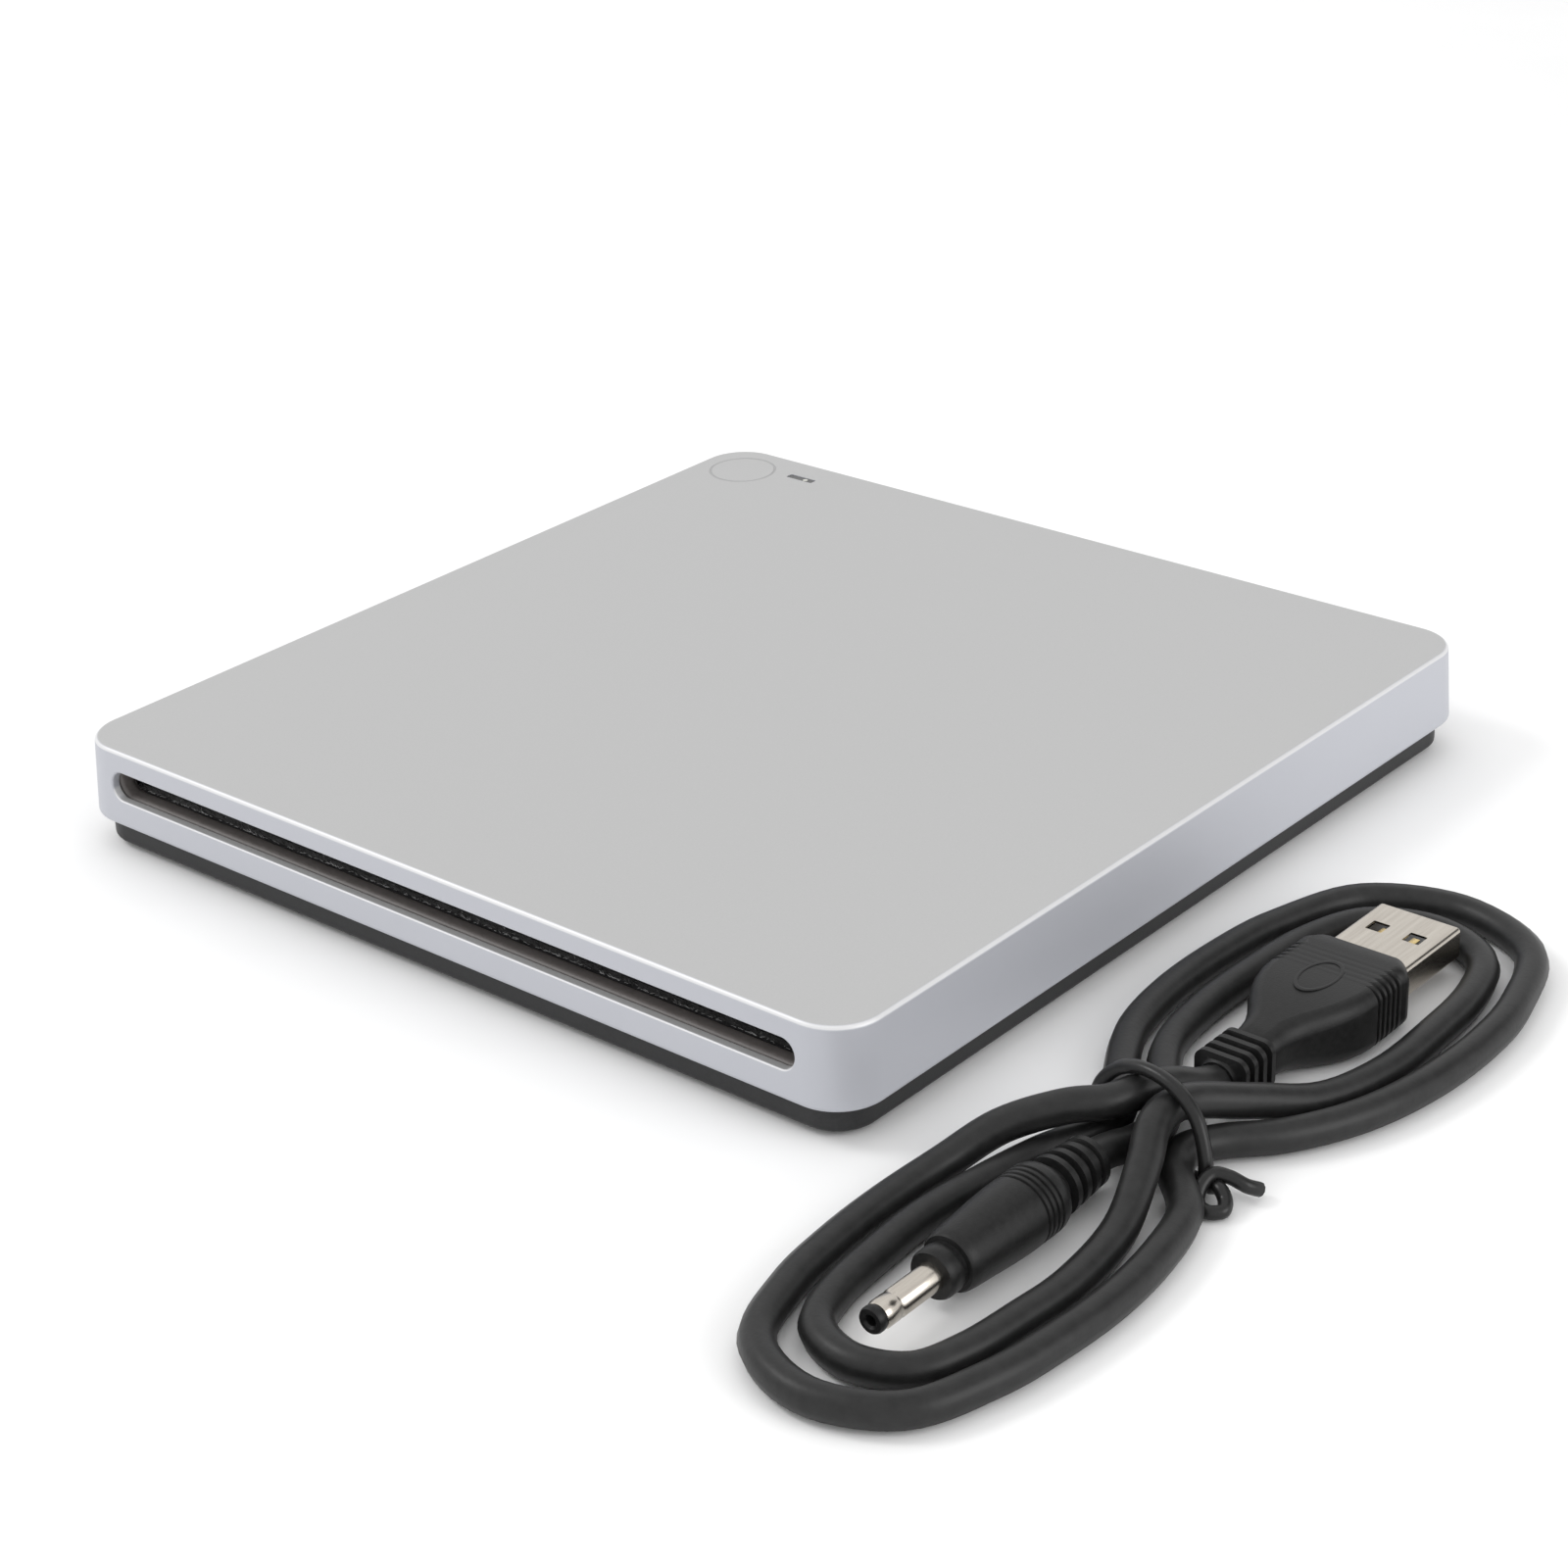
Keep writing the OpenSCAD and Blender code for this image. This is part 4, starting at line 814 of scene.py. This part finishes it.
SLEEVE = [(1.4, 29.2), (1.75, 29.2), (1.75, 36.4), (1.62, 36.6), (1.62, 37.0), (1.75, 37.2),
          (1.75, 38.9), (1.6, 39.4), (1.4, 39.5), (1.4, 29.2)]
sleeve = piece("barrel_sleeve", turned(SLEEVE), nickel, dc_place)
stands_for(sleeve, "plug_steel", "dc_plug_barrel")

TIP = [(0.68, 30), (1.37, 30), (1.37, 39.5), (1.62, 39.6), (1.66, 39.8), (1.66, 40.3), (1.5, 40.65),
       (0.95, 40.7), (0.68, 40.4), (0.68, 30)]
tip = piece("barrel_tip", turned(TIP), boot_black, dc_place)
stands_for(tip, "plug_plastic", "dc_plug_tip")

# %% [markdown]
# ## The tie
#
# The bundle is held by a plastic-coated wire: once round the strands, then its two ends are
# twisted together and bent over beside the bundle. Both stretches are wires along a line. The
# band's line is an oval that leans a little, and the twist is a short helix.

# %% The tie
TIE = [
    (9.6, -2.2, 1.6), (8.9, -1.4, 4.6), (6.8, -0.3, 8.2), (3.2, 0.6, 10.5), (-1.5, 1.4, 10.9),
    (-5.4, 2.0, 9.4), (-8.3, 2.3, 6.2), (-9.0, 2.2, 3.0), (-7.8, 1.6, 1.12), (-4, 0.8, 1.06),
    (0, 0, 1.06), (4, -0.9, 1.06), (8, -1.8, 1.06), (10.4, -2.6, 1.4), (12.2, -3.4, 2.3),
    (13.6, -4.2, 1.6), (14.2, -5.6, 1.1), (12.9, -6.8, 1.1), (11.2, -6.2, 1.3),
    (10.6, -4.6, 2.6), (11.0, -2.8, 3.4), (12.6, -1.8, 3.1), (14.4, -1.0, 2.2), (15.2, 0.6, 1.2),
]
tie_line = [cord_at + p for p in smooth_line([Vector(p) * MM for p in TIE], 8)]
tie = wire("wire_tie", tie_line, 1.8 * MM, 3)
tie.data.materials.append(tie_black)
stands_for(tie, "tie_plastic", "cord_tie")

# %% Finish the lead and say what it is
lead.data.materials.append(jacket)
stands_for(lead, "cord_jacket", "power_cord")

# %% [markdown]
# ## Finishes for the parts that stay
#
# The mechanism inside keeps the frame's own shapes. Each part gets the finish of what it is
# made of, by the name of its material slot in the record.

# %% Dress the parts that stay
BY_SLOT = {
    "shell_aluminium": aluminium, "base_plastic": base_black, "foot_rubber": foot_rubber,
    "screw_steel": screw_steel, "liner_plastic": liner_brown, "felt": felt_black,
    "ring_ink": ring_ink, "smoked_window": smoked, "circuit_board": board_green,
    "copper_foil": copper, "led_lens": lamp_clear, "chip": chip_black,
    "plated_steel": plated_steel, "connector_plastic": socket_black, "plated_brass": brass,
    "ribbon": ribbon_film, "sheet_steel": rolled_steel, "gear_plastic": acetal,
    "frame_plastic": frame_black, "rod_steel": ground_steel, "cast_sled": cast_alloy,
    "lens": lens_glass, "cord_jacket": jacket, "tie_plastic": tie_black,
    "plug_plastic": boot_black, "plug_steel": nickel, "tongue_plastic": tongue_dark,
}
dressed = 0
for row in frame["record"]["subparts"]:
    part = nodes[row["node"]]
    part.data.materials.clear()
    part.data.materials.append(BY_SLOT[row["material_slot"]])
    dressed += 1
print(dressed, "parts dressed")

# %% [markdown]
# ## Floor and light
#
# The drive stands on a white table in a bright, soft room. A white sky lights it from all round, which makes
# the soft grey shadow where the drive meets the table. One small lamp in front on the left adds to the
# painted highlight on the rolled edge, so a bright line runs along the front edge. A weak low lamp on the
# right gives back some of the light that the lead takes from the side beside it. A dark card stands behind
# on the right, where the right edge mirrors it, so the line along that edge is fainter.

# %% Floor and light
table = bmesh.new()
bmesh.ops.create_grid(table, x_segments=1, y_segments=1, size=4)
table_white = finish("table_white", [grey(0.93), grey(0.95)], grain=60 * MM, gloss=(0.8, 0.9), bump=0.0)
floor = piece("table_top", table, table_white)
floor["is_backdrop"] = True

world = bpy.data.worlds.new("studio")
bpy.context.scene.world = world
world.use_nodes = True
world.node_tree.nodes["Background"].inputs["Color"].default_value = (1, 1, 1, 1)
world.node_tree.nodes["Background"].inputs["Strength"].default_value = 1.0


def soft_lamp(name, place, size, power):
    """A square lamp that faces the drive."""
    lamp = bpy.data.objects.new(name, bpy.data.lights.new(name, "AREA"))
    lamp.data.shape = "SQUARE"
    lamp.data.size = size
    lamp.data.energy = power
    lamp.location = place
    lamp.rotation_euler = (-Vector(place)).to_track_quat("-Z", "Y").to_euler()
    bpy.context.scene.collection.objects.link(lamp)
    return lamp


soft_lamp("key", (-0.77, -0.46, 0.95), 0.35, 3.5)
soft_lamp("fill", (0.55, 0.0, 0.22), 0.3, 0.8)

card = bmesh.new()
bmesh.ops.create_grid(card, x_segments=1, y_segments=1, size=0.22)
card_at = Vector((0.38, 0.58, 0.50))
dark_card = finish("dark_card", [grey(0.02), grey(0.03)], grain=60 * MM, gloss=(0.9, 1.0), bump=0.0)
flag = piece("dark_card", card, dark_card,
             Matrix.Translation(card_at) @ card_at.to_track_quat("Z", "Y").to_matrix().to_4x4())
flag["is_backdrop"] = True
bpy.context.scene.view_settings.view_transform = "Standard"

# %% Print the size of the visual box and finish
low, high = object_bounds()
print("visual box in mm:", [round(x / MM, 1) for x in high - low])
